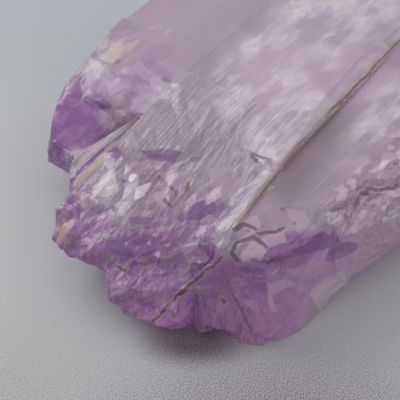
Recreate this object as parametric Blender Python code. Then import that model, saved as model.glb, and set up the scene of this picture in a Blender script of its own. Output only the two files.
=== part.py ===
"""Kunzite crystal: one violet, lath-shaped crystal lying on its flat underside.

The crystal runs along X. Its broken, deep violet end is at -X, its pale body runs to +X. It grew as
two plates side by side, which meet at a step along its top, and its broken end comes down in ledges.
Each part is a block with its faces cleaved off by planes, and all of them are joined in one solid.
Metres, +Z up. The origin is at the middle of the outer box, on the surface that the crystal lies on.
"""

import math
import random

import bmesh
import bpy
from mathutils import Matrix, Vector
from mathutils.bvhtree import BVHTree

MM = 0.001

# Driving dimensions of the whole crystal.
LENGTH = 66 * MM
WIDTH = 50.6 * MM
THICKNESS = 17.3 * MM

# Where the ends and sides lie, from the dimensions above.
NEAR_END = -LENGTH / 2
FAR_END = LENGTH / 2
LEFT_SIDE = WIDTH / 2
RIGHT_SIDE = -WIDTH / 2

# The step along the top, where the left plate stands above the right one.
STEP_Y = -10.9 * MM
STEP_TURN = 3.2
LEFT_PLATE_TOP = THICKNESS - 0.1 * MM
RIGHT_PLATE_TOP = LEFT_PLATE_TOP - 1.6 * MM

# Small growth and breakage that is repeated over the surface.
RIDGE_COUNT = 20
RIDGE_HEIGHT = 0.25 * MM
CHIP_COUNT = 150
CHIP_SIZES = (1.3 * MM, 2.8 * MM)
CHIP_SPACING = 1.7 * MM
CHIP_MARGIN = 1.3 * MM
SEED = 7

# Points closer than this after a Boolean are one point.
WELD = 0.002 * MM

COLLECTION = "kunzite_crystal_part"
CUTTERS = "kunzite_crystal_cutters"
NODE = "kunzite_crystal"


def mm(x, y, z):
    """A point given in millimetres."""
    return Vector((x * MM, y * MM, z * MM))


def direction(turn, tilt):
    """The unit vector at turn degrees round from +X towards +Y, and tilt degrees up from level."""
    a, e = math.radians(turn), math.radians(tilt)
    return Vector((math.cos(a) * math.cos(e), math.sin(a) * math.cos(e), math.sin(e)))


def box(low, high):
    """A cube primitive stretched between two corners, as a bmesh."""
    bm = bmesh.new()
    bmesh.ops.create_cube(bm, size=1)
    bmesh.ops.scale(bm, vec=high - low, verts=bm.verts)
    bmesh.ops.translate(bm, vec=(low + high) / 2, verts=bm.verts)
    return bm


def cleave(bm, point, normal):
    """Splits off all that lies beyond the plane, and closes the cut with one flat face."""
    bmesh.ops.bisect_plane(
        bm,
        geom=list(bm.verts) + list(bm.edges) + list(bm.faces),
        dist=1e-7,
        plane_co=point,
        plane_no=normal,
        clear_outer=True,
    )
    open_edges = [edge for edge in bm.edges if edge.is_boundary]
    if open_edges:
        bmesh.ops.holes_fill(bm, edges=open_edges)


def cleaved_block(low, high, faces):
    """A box cut by faces, each given as (turn, tilt, point on it in millimetres)."""
    bm = box(mm(*low), mm(*high))
    for turn, tilt, point in faces:
        cleave(bm, mm(*point), direction(turn, tilt))
    return bm


def object_from(bm, name, collection):
    """Makes a mesh object of a bmesh, with its faces pointing out."""
    bmesh.ops.recalc_face_normals(bm, faces=bm.faces)
    mesh = bpy.data.meshes.new(name)
    bm.to_mesh(mesh)
    bm.free()
    obj = bpy.data.objects.new(name, mesh)
    collection.objects.link(obj)
    return obj


def far_faces():
    """The break across the far end, which the plates share."""
    return [
        (-14, 8, (28.6, -4, 12)),
        (16, -6, (31.8, 6, 9)),
        (48, 12, (30.5, 17, 10)),
    ]


def left_plate():
    """The higher plate, from the step to the left side of the crystal."""
    top = LEFT_PLATE_TOP / MM
    return cleaved_block((-12.5, -11.6, 1.5), (33, 25.3, 17.5), [
        (90, 87.7, (0, -10, top)),
        (182, 86, (0, -5, top - 0.1)),
        (20, 86.5, (12, 0, top - 0.3)),
        (91, 80, (0, 9, top - 0.8)),
        (93, 42, (0, 23.9, 13.8)),
        (92, -4, (0, 25.2, 9)),
        (98, 5, (-5.8, 24.2, 12)),
        (91, -42, (0, 24.4, 6)),
        (STEP_TURN - 90, 14, (0, STEP_Y / MM + 0.2, 16.2)),
        (STEP_TURN - 88, 52, (0, STEP_Y / MM + 0.9, 16.9)),
        (181, 38, (-11.4, -5, 15)),
        (146, 58, (-9.5, 19, 14)),
        (168, 62, (-10.5, 12, 15)),
    ] + far_faces())


def right_plate():
    """The lower plate, to the right of the step."""
    top = RIGHT_PLATE_TOP / MM
    return cleaved_block((-24, -22, 2.1), (31.1, -8, 16), [
        (268, 82.5, (0, -11, top)),
        (200, 82, (-15, -12, top - 0.6)),
        (STEP_TURN + 90, 0, (0, STEP_Y / MM + 0.9, 10)),
        (220, 71, (-17, -14, 14.5)),
        (262, 40, (-6, -20.2, 13.3)),
        (255, 14, (-19.7, -19.6, 5)),
        (203, 14, (-25.2, -15.5, 1)),
        (268, -45, (0, -21, 3)),
        (-12, 4, (29.5, -12, 8)),
    ])


def tongue():
    """The striated end of the left plate that runs out towards the lobe."""
    return cleaved_block((-21, -2.5, 4.3), (-4.2, 10.2, 17), [
        (176, 79, (-18, 5, 14.6)),
        (197, 36, (-17.4, 1.6, 13.6)),
        (166, 34, (-19.9, 8, 13.4)),
        (228, 48, (-14, -1.6, 14.2)),
        (96, 30, (-14, 9.4, 13.8)),
    ])


def rib():
    """The bright, narrow ridge between the tongue and the lobe."""
    return cleaved_block((-25.5, 6.1, 5.2), (-8.3, 14, 15.6), [
        (82, 34, (-18, 11.2, 13.2)),
        (-98, 42, (-18, 10.1, 13.1)),
        (180, 83, (-18, 10.5, 14.1)),
        (192, 34, (-24.8, 11, 11.5)),
        (110, 4, (-22, 12.4, 9)),
        (170, -20, (-24.6, 10, 8)),
    ])


def lobe():
    """The low violet lobe at the left side of the broken end."""
    return cleaved_block((-19.7, 4.4, 3.6), (2, 24.6, 14), [
        (184, 85, (-15, 18, 12.6)),
        (98, 6, (-5.8, 24.1, 12)),
        (106, 8, (-11.3, 23.1, 12)),
        (115, 5, (-18.7, 20, 12)),
        (150, 20, (-19.3, 19.6, 9)),
        (241, 43, (-14.5, 17.2, 12.4)),
        (214, 60, (-9, 13.5, 12.6)),
        (188, 4, (-19.4, 18, 8)),
        (186, -40, (-19.2, 18, 5)),
        (105, -45, (-10, 22.5, 4.5)),
    ])


def pale_ledge():
    """The glassy ledge under the tongue."""
    return cleaved_block((-26.5, -5.5, 3.3), (-6.2, 10.4, 15), [
        (186, 82, (-24.4, 4.5, 12.5)),
        (172, 45, (-25.6, 7.5, 12.4)),
        (192, 42, (-24.4, 3, 12.3)),
        (220, 42, (-22.6, -2.6, 12.3)),
        (95, 25, (-20, 10, 11.5)),
    ])


def lilac_ledge():
    """The smooth facet between the pale ledge and the step."""
    return cleaved_block((-22.5, -12, 3.8), (-6.7, 1.3, 16.5), [
        (192, 69, (-11.4, -6, 15.3)),
        (207, 38, (-19.4, -8, 12.7)),
        (165, 40, (-18.2, -4, 12.6)),
        (262, 40, (-16, -11.6, 13)),
    ])


def step_rim():
    """The whitish rim that carries the step on towards the broken end."""
    return cleaved_block((-23.4, -13.2, 4.7), (-8.6, -8.4, 16.4), [
        (184, 84, (-15, -11, 15.4)),
        (STEP_TURN - 90, 16, (0, STEP_Y / MM + 0.2, 15)),
        (100, 50, (-15, -10.4, 15.2)),
        (205, 42, (-22.4, -11.6, 14)),
    ])


def violet_band():
    """The steep violet face under the rough ledge, from the nose across to the crack."""
    return cleaved_block((-30, -13, 2.4), (-12.7, 1.6, 12.6), [
        (210, 40, (-27, -3.5, 9.8)),
        (214, 66, (-22, -6, 11.8)),
        (176, 36, (-28.6, -1, 9)),
        (205, -30, (-25.4, -6, 7)),
    ])


def nose():
    """The rough ledge that juts out furthest at the left."""
    return cleaved_block((-31.8, -7, 2.9), (-12.3, 10, 13), [
        (183, 60, (-25.8, 3, 12.1)),
        (176, 34, (-30.2, 5, 9.2)),
        (100, 12, (-29, 9.5, 10)),
        (146, 6, (-31, 8.2, 8)),
        (185, -4, (-31.6, 5, 8)),
        (207, 30, (-28.6, -2, 9.4)),
        (214, 62, (-26, -3, 10.8)),
        (190, -36, (-30.8, 5, 6.4)),
        (150, -40, (-29.5, 8, 5.6)),
    ])


def lower_block():
    """The rounded block under the nose, which overhangs the surface."""
    return cleaved_block((-33.6, -15, 0.9), (-11.6, 2.5, 8.6), [
        (204, 80, (-29, -3, 8)),
        (128, 4, (-32.2, -1, 6)),
        (186, 6, (-33.1, -2.2, 4.2)),
        (206, 8, (-31.2, -5.8, 5)),
        (234, 22, (-29.6, -8.2, 5)),
        (200, 42, (-31.6, -3.5, 7.2)),
        (205, -38, (-30.4, -7, 2.3)),
        (150, -42, (-31.6, -1.5, 3.5)),
    ])


def right_foot():
    """The block at the near end of the right plate, which stands on the surface."""
    return cleaved_block((-31, -20.8, -1.3), (-8.9, -6.5, 15), [
        (218, 14, (-28.5, -9.6, 3)),
        (201, 14, (-25.7, -16, 1)),
        (59, 10, (-28, -9.2, 4.5)),
        (150, 30, (-27.6, -9.4, 6)),
        (232, 18, (-24.2, -18.3, 2)),
        (252, 8, (-19.7, -20.3, 0.5)),
        (220, 71, (-17, -14, 14.2)),
        (205, -34, (-27.5, -10.5, 2)),
    ])


def right_wall():
    """The right side, from the edge of the near facets down to the surface."""
    return cleaved_block((-25, -23.4, -1.6), (8, -12.4, 13.4), [
        (250, 7, (-13.1, -21.7, 2)),
        (236, 12, (-20.8, -19.7, 2)),
        (203, 14, (-24.6, -16, 1)),
        (262, 10, (-4, -23, 3)),
        (220, 71, (-17, -14, 14.3)),
        (258, 66, (-13, -20.4, 12.4)),
        (262, -48, (-6, -22.6, 2.4)),
    ])


def right_flank():
    """The rough flank that the right plate comes down to."""
    return cleaved_block((-13, -25.3, 3.6), (30, -14, 13.4), [
        (262, 52, (-5, -22.2, 11.7)),
        (262, 76, (-5, -20, 13.3)),
        (249, 6, (-9.2, -22.9, 5)),
        (230, 30, (-10.6, -22, 11)),
        (267, 4, (-3, -25, 7)),
        (273, 10, (12, -25.2, 7)),
        (264, -48, (-5, -24.4, 5.4)),
        (-30, 6, (26, -20, 8)),
        (-8, 12, (28.6, -17, 8)),
    ])


def far_ledge():
    """The lower ledge that the far end breaks off in."""
    return cleaved_block((14, -9.3, 2.6), (33, 19, 11), [
        (10, 78, (28, 5, 9.6)),
        (-22, 10, (31, -3, 7)),
        (8, -4, (33, 6, 7)),
        (52, 6, (31, 15, 6)),
        (4, -46, (31.5, 5, 4)),
    ])


def underside():
    """The thick middle, which narrows down to the flat face that the crystal rests on."""
    return cleaved_block((-24, -19.5, -1), (30.5, 20.5, 9), [
        (95, -50, (0, 18.2, 2)),
        (88, -28, (0, 14.5, 0.3)),
        (268, -44, (8, -17.6, 0.4)),
        (222, 0, (-20.5, -14.5, 5)),
        (186, -40, (-23.4, 2, 0.6)),
        (160, -10, (-22, 9, 5)),
        (140, -20, (-17, 15, 4)),
        (3, -42, (27.6, 0, 0.6)),
        (40, -40, (26, 13, 1.5)),
        (-40, -38, (24, -15, 1)),
    ])


BLOCKS = (
    left_plate, right_plate, tongue, rib, lobe, pale_ledge, lilac_ledge, step_rim, nose, violet_band,
    lower_block, right_foot, right_wall, right_flank, far_ledge, underside,
)


def groove(start, end, width, depth):
    """A cutter for a V-shaped crack from start to end, both in millimetres."""
    a, b = mm(*start), mm(*end)
    run = b - a
    bm = box(Vector((0, -0.5, -0.5)), Vector((1, 0.5, 0.5)))
    corner_down = Matrix.Rotation(math.radians(45), 4, "X")
    bmesh.ops.transform(bm, matrix=corner_down, verts=bm.verts)
    size = Matrix.Diagonal((run.length, width * MM / math.sqrt(2), 2 * depth * MM / math.sqrt(2), 1))
    bmesh.ops.transform(bm, matrix=size, verts=bm.verts)
    place = Matrix.Translation(a) @ run.to_track_quat("X", "Z").to_matrix().to_4x4()
    bmesh.ops.transform(bm, matrix=place, verts=bm.verts)
    return bm


def grooves():
    """The cracks wide enough to see from a step away."""
    foot = RIGHT_PLATE_TOP / MM
    return [
        groove((-12, STEP_Y / MM - 0.4, foot - 0.2), (6, STEP_Y / MM + 0.6, foot + 0.1), 0.9, 0.7),
        groove((5, STEP_Y / MM + 0.5, foot + 0.1), (24, STEP_Y / MM + 1.7, foot + 0.2), 1.2, 0.6),
        groove((-12.5, -21.8, 12.6), (-5, -19.7, 13.9), 0.8, 0.7),
        groove((-5.3, -19.8, 13.9), (3, -20.4, 13.9), 0.9, 0.6),
        groove((-27.6, 1.6, 10.7), (-24.4, -1.8, 11.1), 1.1, 1.0),
        groove((-29.6, -8.2, 4), (-22.6, -12.2, 11.6), 1.0, 0.8),
    ]


def boolean_result(first, group, operation):
    """The mesh of the first object joined with, or cut by, the objects of a collection."""
    boolean = first.modifiers.new("boolean", "BOOLEAN")
    boolean.operation = operation
    boolean.operand_type = "COLLECTION"
    boolean.collection = group
    bm = bmesh.new()
    bm.from_mesh(first.evaluated_get(bpy.context.evaluated_depsgraph_get()).data)
    bmesh.ops.remove_doubles(bm, verts=bm.verts, dist=WELD)
    bmesh.ops.dissolve_degenerate(bm, edges=bm.edges, dist=WELD)
    return bm


def joined(objects, name, collection):
    """One object of all the objects, by a union. The objects themselves are removed."""
    first, rest = objects[0], objects[1:]
    group = bpy.data.collections.new(name + "_joining")
    for obj in rest:
        group.objects.link(obj)
    bm = boolean_result(first, group, "UNION")
    for obj in objects:
        bpy.data.objects.remove(obj)
    bpy.data.collections.remove(group)
    return object_from(bm, name, collection)


def drop_crumbs(bm):
    """Removes the specks that the cutters split off, which leaves the largest piece."""
    left = set(bm.verts)
    pieces = []
    while left:
        reached = {left.pop()}
        edge_of_search = set(reached)
        while edge_of_search:
            found = {edge.other_vert(vert) for vert in edge_of_search for edge in vert.link_edges}
            edge_of_search = found & left
            left -= edge_of_search
            reached |= edge_of_search
        pieces.append(reached)
    for crumb in sorted(pieces, key=len)[:-1]:
        bmesh.ops.delete(bm, geom=list(crumb), context="VERTS")


def surface_of(obj):
    """What a ray meets on this object."""
    bm = bmesh.new()
    bm.from_mesh(obj.data)
    tree = BVHTree.FromBMesh(bm)
    bm.free()
    return tree


def ridge(rng, tree, x, y):
    """A long, low growth ridge along X, bedded in the top at (x, y)."""
    length = rng.uniform(8, 22) * MM
    half = rng.uniform(0.4, 0.8) * MM
    ends = [tree.ray_cast(Vector((x + s * length * 0.4, y, 0.03)), Vector((0, 0, -1)))[0] for s in (-1, 1)]
    if None in ends:
        return None
    rise = ends[1] - ends[0]
    if abs(rise.z) > 0.12 * rise.x:
        return None
    bm = box(Vector((-length / 2, -half, -1.2 * MM)), Vector((length / 2, half, RIDGE_HEIGHT)))
    cleave(bm, Vector((0, half * 0.2, RIDGE_HEIGHT)), direction(90, 66))
    cleave(bm, Vector((0, -half * 0.2, RIDGE_HEIGHT)), direction(-90, rng.uniform(50, 74)))
    for way in (0, 180):
        end = Vector((math.cos(math.radians(way)) * length * 0.4, 0, RIDGE_HEIGHT))
        cleave(bm, end, direction(way + rng.uniform(-30, 30), 74))
    lean = math.atan2(rise.z, rise.x)
    place = Matrix.Translation((ends[0] + ends[1]) / 2) @ Matrix.Rotation(-lean, 4, "Y")
    place = place @ Matrix.Rotation(math.radians(rng.uniform(-1, 3)), 4, "Z")
    bmesh.ops.transform(bm, matrix=place, verts=bm.verts)
    return bm


def chip(rng, point, normal):
    """A flat-faced splinter, bedded in the surface so that only its sloping top stands proud."""
    size = rng.uniform(*CHIP_SIZES)
    half = Vector((size * rng.uniform(0.45, 0.6), size * rng.uniform(0.3, 0.4), size * 0.3))
    bm = box(-half, half)
    for _ in range(3):
        way = direction(rng.uniform(0, 360), rng.uniform(55, 80))
        cleave(bm, way * half.z * rng.uniform(0.7, 0.95), way)
    for _ in range(2):
        way = direction(rng.uniform(0, 360), rng.uniform(0, 30))
        cleave(bm, way * half.y * rng.uniform(0.7, 1.0), way)
    proud = rng.uniform(0.08, 0.2) * size
    place = Matrix.Translation(point - normal * (half.z - proud))
    place = place @ Matrix.Rotation(rng.uniform(0, math.tau), 4, normal)
    place = place @ normal.to_track_quat("Z", "X").to_matrix().to_4x4()
    bmesh.ops.transform(bm, matrix=place, verts=bm.verts)
    return bm


def growth_ridges(rng, tree):
    """The ridges over both plates' tops."""
    found = []
    while len(found) < RIDGE_COUNT:
        made = ridge(rng, tree, rng.uniform(-10, 20) * MM, rng.uniform(-20, 20) * MM)
        if made:
            found.append(made)
    return found


def is_broken(point):
    """Whether the crystal is broken here: its near end, its rough right flank or its far end."""
    near = point.x < -15 * MM - 0.25 * abs(point.y + 4 * MM)
    flank = point.y < -20.5 * MM and point.z > 3 * MM
    far = point.x > 28.5 * MM
    return near or flank or far


def broken_chips(rng, form):
    """The splinters over the broken places, spread evenly by area."""
    mesh = form.data
    mesh.calc_loop_triangles()
    corners = [[mesh.vertices[i].co for i in tri.vertices] for tri in mesh.loop_triangles]
    areas = [tri.area for tri in mesh.loop_triangles]
    normals = [tri.normal for tri in mesh.loop_triangles]
    places, found = [], []
    while len(found) < CHIP_COUNT:
        index = rng.choices(range(len(areas)), weights=areas)[0]
        a, b, c = corners[index]
        u, v = sorted((rng.random(), rng.random()))
        point = a * u + b * (v - u) + c * (1 - v)
        inside = (
            NEAR_END + CHIP_MARGIN < point.x < FAR_END - CHIP_MARGIN
            and RIGHT_SIDE + CHIP_MARGIN < point.y < LEFT_SIDE - CHIP_MARGIN
            and 2 * MM < point.z < THICKNESS - CHIP_MARGIN
        )
        apart = all((point - other).length > CHIP_SPACING for other in places)
        if inside and apart and is_broken(point) and normals[index].z > -0.4:
            places.append(point)
            found.append(chip(rng, point, normals[index]))
    return found


def crystal_material():
    """Pale violet, glassy and clear enough to see into."""
    material = bpy.data.materials.new("kunzite")
    material.use_nodes = True
    shader = material.node_tree.nodes["Principled BSDF"]
    shader.inputs["Base Color"].default_value = (0.42, 0.24, 0.52, 1)
    shader.inputs["Roughness"].default_value = 0.22
    shader.inputs["Metallic"].default_value = 0.0
    shader.inputs["IOR"].default_value = 1.66
    shader.inputs["Transmission Weight"].default_value = 0.6
    return material


def new_collection(name):
    """An empty collection in the scene."""
    collection = bpy.data.collections.new(name)
    bpy.context.scene.collection.children.link(collection)
    return collection


def outer_limits():
    """The boxes that trim the crystal to its outer size: the surface it lies on, its top, ends and sides."""
    far = Vector((LENGTH, WIDTH, 2 * THICKNESS))
    return [
        ("ground_cut", -far, Vector((far.x, far.y, 0))),
        ("top_cut", Vector((-far.x, -far.y, THICKNESS)), far),
        ("near_cut", -far, Vector((NEAR_END, far.y, far.z))),
        ("far_cut", Vector((FAR_END, -far.y, -far.z)), far),
        ("left_cut", Vector((-far.x, LEFT_SIDE, -far.z)), far),
        ("right_cut", -far, Vector((far.x, RIGHT_SIDE, far.z))),
    ]


def as_cutter(bm, name, collection):
    """A hidden object that is cut away from the crystal."""
    obj = object_from(bm, name, collection)
    obj.hide_render = True
    obj.display_type = "WIRE"
    return obj


def main():
    for obj in list(bpy.data.objects):
        bpy.data.objects.remove(obj)
    parts = new_collection(COLLECTION)
    cutters = new_collection(CUTTERS)

    form = joined([object_from(make(), make.__name__, parts) for make in BLOCKS], "form", parts)
    rng = random.Random(SEED)
    small = growth_ridges(rng, surface_of(form)) + broken_chips(rng, form)
    pieces = [object_from(bm, f"small_{i}", parts) for i, bm in enumerate(small)]
    rough = joined([form] + pieces, "rough", parts)

    for name, low, high in outer_limits():
        as_cutter(box(low, high), name, cutters)
    for i, bm in enumerate(grooves()):
        as_cutter(bm, f"groove_{i}", cutters)
    bm = boolean_result(rough, cutters, "DIFFERENCE")
    drop_crumbs(bm)
    bpy.data.objects.remove(rough)
    crystal = object_from(bm, NODE, parts)
    crystal.data.materials.append(crystal_material())


main()
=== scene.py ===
"""Looks of the kunzite crystal: its finely broken surface, its violet and milky stone, and its studio.

The crystal is one closed surface worked out with numpy. It is built on the same cleaved blocks as the solid,
in millimetres, with the crystal's length along X, its broken violet end at -X, and Z up.
"""

import math

import bpy
import numpy as np
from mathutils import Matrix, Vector


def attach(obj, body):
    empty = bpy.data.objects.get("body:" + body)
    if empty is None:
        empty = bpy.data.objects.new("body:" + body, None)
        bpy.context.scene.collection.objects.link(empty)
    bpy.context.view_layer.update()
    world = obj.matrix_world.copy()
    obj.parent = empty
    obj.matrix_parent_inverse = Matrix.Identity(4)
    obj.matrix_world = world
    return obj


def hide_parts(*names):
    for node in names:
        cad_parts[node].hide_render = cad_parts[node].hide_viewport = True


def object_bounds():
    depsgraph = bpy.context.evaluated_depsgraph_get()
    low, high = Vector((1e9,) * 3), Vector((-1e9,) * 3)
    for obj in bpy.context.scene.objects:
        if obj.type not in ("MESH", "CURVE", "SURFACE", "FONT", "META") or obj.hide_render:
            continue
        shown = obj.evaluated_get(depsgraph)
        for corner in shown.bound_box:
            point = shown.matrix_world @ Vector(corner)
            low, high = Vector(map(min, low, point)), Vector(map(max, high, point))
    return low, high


bl_info = {
    "name": "Kunzite crystal",
    "version": (1, 0, 0),
    "blender": (4, 5, 0),
    "location": "3D View > Sidebar > Kunzite",
    "description": "Makes the fine surface and the stone of a kunzite crystal, and its studio",
    "category": "Add Mesh",
}

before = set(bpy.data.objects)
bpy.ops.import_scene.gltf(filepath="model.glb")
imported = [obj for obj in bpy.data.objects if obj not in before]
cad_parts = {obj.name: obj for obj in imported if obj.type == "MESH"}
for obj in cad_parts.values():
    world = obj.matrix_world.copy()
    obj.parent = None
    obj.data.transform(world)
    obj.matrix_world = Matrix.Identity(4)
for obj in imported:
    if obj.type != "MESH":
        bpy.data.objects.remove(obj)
CAD_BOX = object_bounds()
MM = 0.001

# The cleaved blocks: two corners in millimetres, then faces as turn, tilt and a point on the face.
STEP_Y = -10.9
STEP_TURN = 3.2
LEFT_TOP = 17.2
RIGHT_TOP = 15.6
FAR_FACES = [
    (-14, 8, (28.6, -4, 12)),
    (16, -6, (31.8, 6, 9)),
    (48, 12, (30.5, 17, 10)),
]
BLOCKS = {
    "left_plate": ((-12.5, -11.6, 1.5), (33, 25.3, 17.5), [
        (90, 87.7, (0, -10, LEFT_TOP)),
        (182, 86, (0, -5, LEFT_TOP - 0.1)),
        (20, 86.5, (12, 0, LEFT_TOP - 0.3)),
        (91, 80, (0, 9, LEFT_TOP - 0.8)),
        (93, 42, (0, 23.9, 13.8)),
        (92, -4, (0, 25.2, 9)),
        (98, 5, (-5.8, 24.2, 12)),
        (91, -42, (0, 24.4, 6)),
        (STEP_TURN - 90, 14, (0, STEP_Y + 0.2, 16.2)),
        (STEP_TURN - 88, 64, (0, STEP_Y + 0.75, 16.45)),
        (181, 38, (-11.4, -5, 15)),
        (146, 58, (-9.5, 19, 14)),
        (168, 62, (-10.5, 12, 15)),
    ] + FAR_FACES),
    "right_plate": ((-24, -22, 2.1), (31.1, -8, 16), [
        (268, 82.5, (0, -11, RIGHT_TOP)),
        (200, 82, (-15, -12, RIGHT_TOP - 0.6)),
        (STEP_TURN + 90, 0, (0, STEP_Y + 0.9, 10)),
        (220, 71, (-17, -14, 14.5)),
        (262, 40, (-6, -20.2, 13.3)),
        (255, 14, (-19.7, -19.6, 5)),
        (203, 14, (-25.2, -15.5, 1)),
        (268, -45, (0, -21, 3)),
        (-12, 4, (29.5, -12, 8)),
    ]),
    "tongue": ((-21, -2.5, 4.3), (-4.2, 10.2, 17), [
        (176, 79, (-18, 5, 14.6)),
        (197, 36, (-17.4, 1.6, 13.6)),
        (166, 34, (-19.9, 8, 13.4)),
        (228, 48, (-14, -1.6, 14.2)),
        (96, 30, (-14, 9.4, 13.8)),
    ]),
    "rib": ((-25.5, 6.1, 5.2), (-8.3, 14, 15.6), [
        (82, 34, (-18, 11.2, 13.2)),
        (-98, 42, (-18, 10.1, 13.1)),
        (180, 83, (-18, 10.5, 14.1)),
        (192, 34, (-24.8, 11, 11.5)),
        (110, 4, (-22, 12.4, 9)),
        (170, -20, (-24.6, 10, 8)),
    ]),
    "lobe": ((-19.7, 4.4, 3.6), (2, 24.6, 14), [
        (184, 85, (-15, 18, 12.6)),
        (98, 6, (-5.8, 24.1, 12)),
        (106, 8, (-11.3, 23.1, 12)),
        (115, 5, (-18.7, 20, 12)),
        (150, 20, (-19.3, 19.6, 9)),
        (241, 43, (-14.5, 17.2, 12.4)),
        (214, 60, (-9, 13.5, 12.6)),
        (188, 4, (-19.4, 18, 8)),
        (186, -40, (-19.2, 18, 5)),
        (105, -45, (-10, 22.5, 4.5)),
    ]),
    "pale_ledge": ((-26.5, -5.5, 3.3), (-6.2, 10.4, 15), [
        (186, 82, (-24.4, 4.5, 12.5)),
        (172, 45, (-25.6, 7.5, 12.4)),
        (192, 42, (-24.4, 3, 12.3)),
        (220, 42, (-22.6, -2.6, 12.3)),
        (95, 25, (-20, 10, 11.5)),
    ]),
    "lilac_ledge": ((-22.5, -12, 3.8), (-6.7, 1.3, 16.5), [
        (192, 69, (-11.4, -6, 15.3)),
        (207, 38, (-19.4, -8, 12.7)),
        (165, 40, (-18.2, -4, 12.6)),
        (262, 40, (-16, -11.6, 13)),
    ]),
    "step_rim": ((-23.4, -13.2, 4.7), (-8.6, -8.4, 16.4), [
        (184, 84, (-15, -11, 15.4)),
        (STEP_TURN - 90, 16, (0, STEP_Y + 0.2, 15)),
        (100, 50, (-15, -10.4, 15.2)),
        (205, 42, (-22.4, -11.6, 14)),
    ]),
    "violet_band": ((-30, -13, 2.4), (-12.7, 1.6, 12.6), [
        (210, 40, (-27, -3.5, 9.8)),
        (214, 66, (-22, -6, 11.8)),
        (176, 36, (-28.6, -1, 9)),
        (205, -30, (-25.4, -6, 7)),
    ]),
    "nose": ((-31.8, -7, 2.9), (-12.3, 10, 13), [
        (183, 60, (-25.8, 3, 12.1)),
        (176, 34, (-30.2, 5, 9.2)),
        (100, 12, (-29, 9.5, 10)),
        (146, 6, (-31, 8.2, 8)),
        (185, -4, (-31.6, 5, 8)),
        (207, 30, (-28.6, -2, 9.4)),
        (214, 62, (-26, -3, 10.8)),
        (190, -36, (-30.8, 5, 6.4)),
        (150, -40, (-29.5, 8, 5.6)),
    ]),
    "lower_block": ((-33.6, -15, 0.9), (-11.6, 2.5, 8.6), [
        (204, 80, (-29, -3, 8)),
        (128, 4, (-32.2, -1, 6)),
        (186, 6, (-33.1, -2.2, 4.2)),
        (206, 8, (-31.2, -5.8, 5)),
        (234, 22, (-29.6, -8.2, 5)),
        (200, 42, (-31.6, -3.5, 7.2)),
        (205, -38, (-30.4, -7, 2.3)),
        (150, -42, (-31.6, -1.5, 3.5)),
    ]),
    "right_foot": ((-31, -20.8, -1.3), (-8.9, -6.5, 15), [
        (218, 14, (-28.5, -9.6, 3)),
        (201, 14, (-25.7, -16, 1)),
        (59, 10, (-27.3, -7.8, 4.5)),
        (150, 30, (-28.4, -8.4, 6)),
        (232, 18, (-24.2, -18.3, 2)),
        (252, 8, (-19.7, -20.3, 0.5)),
        (220, 71, (-17, -14, 14.2)),
        (205, -34, (-27.5, -10.5, 2)),
    ]),
    "right_wall": ((-25, -23.4, -1.6), (8, -12.4, 13.4), [
        (250, 7, (-13.1, -21.7, 2)),
        (236, 12, (-20.8, -19.7, 2)),
        (203, 14, (-24.6, -16, 1)),
        (262, 10, (-4, -23, 3)),
        (220, 71, (-17, -14, 14.3)),
        (258, 66, (-13, -20.4, 12.4)),
        (262, -48, (-6, -22.6, 2.4)),
    ]),
    "right_flank": ((-13, -25.3, 3.6), (30, -14, 13.4), [
        (262, 52, (-5, -22.2, 11.7)),
        (262, 76, (-5, -20, 13.3)),
        (249, 6, (-9.2, -22.9, 5)),
        (230, 30, (-10.6, -22, 11)),
        (267, 4, (-3, -25, 7)),
        (273, 10, (12, -25.2, 7)),
        (264, -48, (-5, -24.4, 5.4)),
        (-30, 6, (26, -20, 8)),
        (-8, 12, (28.6, -17, 8)),
    ]),
    "far_ledge": ((14, -9.3, 2.6), (33, 19, 11), [
        (10, 78, (28, 5, 9.6)),
        (-22, 10, (31, -3, 7)),
        (8, -4, (33, 6, 7)),
        (52, 6, (31, 15, 6)),
        (4, -46, (31.5, 5, 4)),
    ]),
    "underside": ((-24, -19.5, -1), (30.5, 20.5, 9), [
        (95, -50, (0, 18.2, 2)),
        (88, -28, (0, 14.5, 0.3)),
        (268, -44, (8, -17.6, 0.4)),
        (222, 0, (-20.5, -14.5, 5)),
        (186, -40, (-23.4, 2, 0.6)),
        (160, -10, (-22, 9, 5)),
        (140, -20, (-17, 15, 4)),
        (3, -42, (27.6, 0, 0.6)),
        (40, -40, (26, 13, 1.5)),
        (-40, -38, (24, -15, 1)),
    ]),
}

# The widest gap in millimetres between two blocks that the surface runs over.
CRACK = 1.6
# A loop inside the stone, which the surface is measured out from: its height, its middle and its corners.
CORE_HEIGHT = 7.2
CORE_MIDDLE = (-3.0, -0.5)
CORE_LOOP = [
    (-28.5, 4.5), (-29.5, -1.5), (-28.0, -8.5), (-23.5, -13.8), (-12.0, -17.8), (8.0, -20.0),
    (23.0, -17.5), (27.5, -8.0), (28.8, 6.0), (25.0, 15.5), (12.0, 20.5), (-6.0, 20.6),
    (-15.5, 17.8), (-20.5, 11.5), (-26.0, 8.0),
]
# Points of the surface's grid: round the stone, out over the top, round the rim and in under the base.
GRID = (950, 165, 90, 60)
# Rows at each middle of the grid that aren't softened, and how many neighbours the softening takes in.
STILL_ROWS = 12
SOFTENING = 5
PLATE_SOFTENING = 13
# How many kinds of cell the patterns have, and the large primes that pick one for a cell.
KINDS = 1024
PRIMES = (73856093, 19349663, 83492791, 2654435761)
# The direction that the facet shading is measured along: painted shade and reflection by the way a face
# points.
FACET_SHADING_WAY = (5.0, 7.0, 4.0)
# The stone: how strongly it bends light, its shine, how fast it takes on its inner colour, and the height and
# strength of its fine relief.
STONE_IOR = 1.66
STONE_SHINE = 0.4
STONE_DENSITY = 40
RELIEF_HEIGHT = 0.08 * MM
RELIEF_STRENGTH = 0.7
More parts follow.
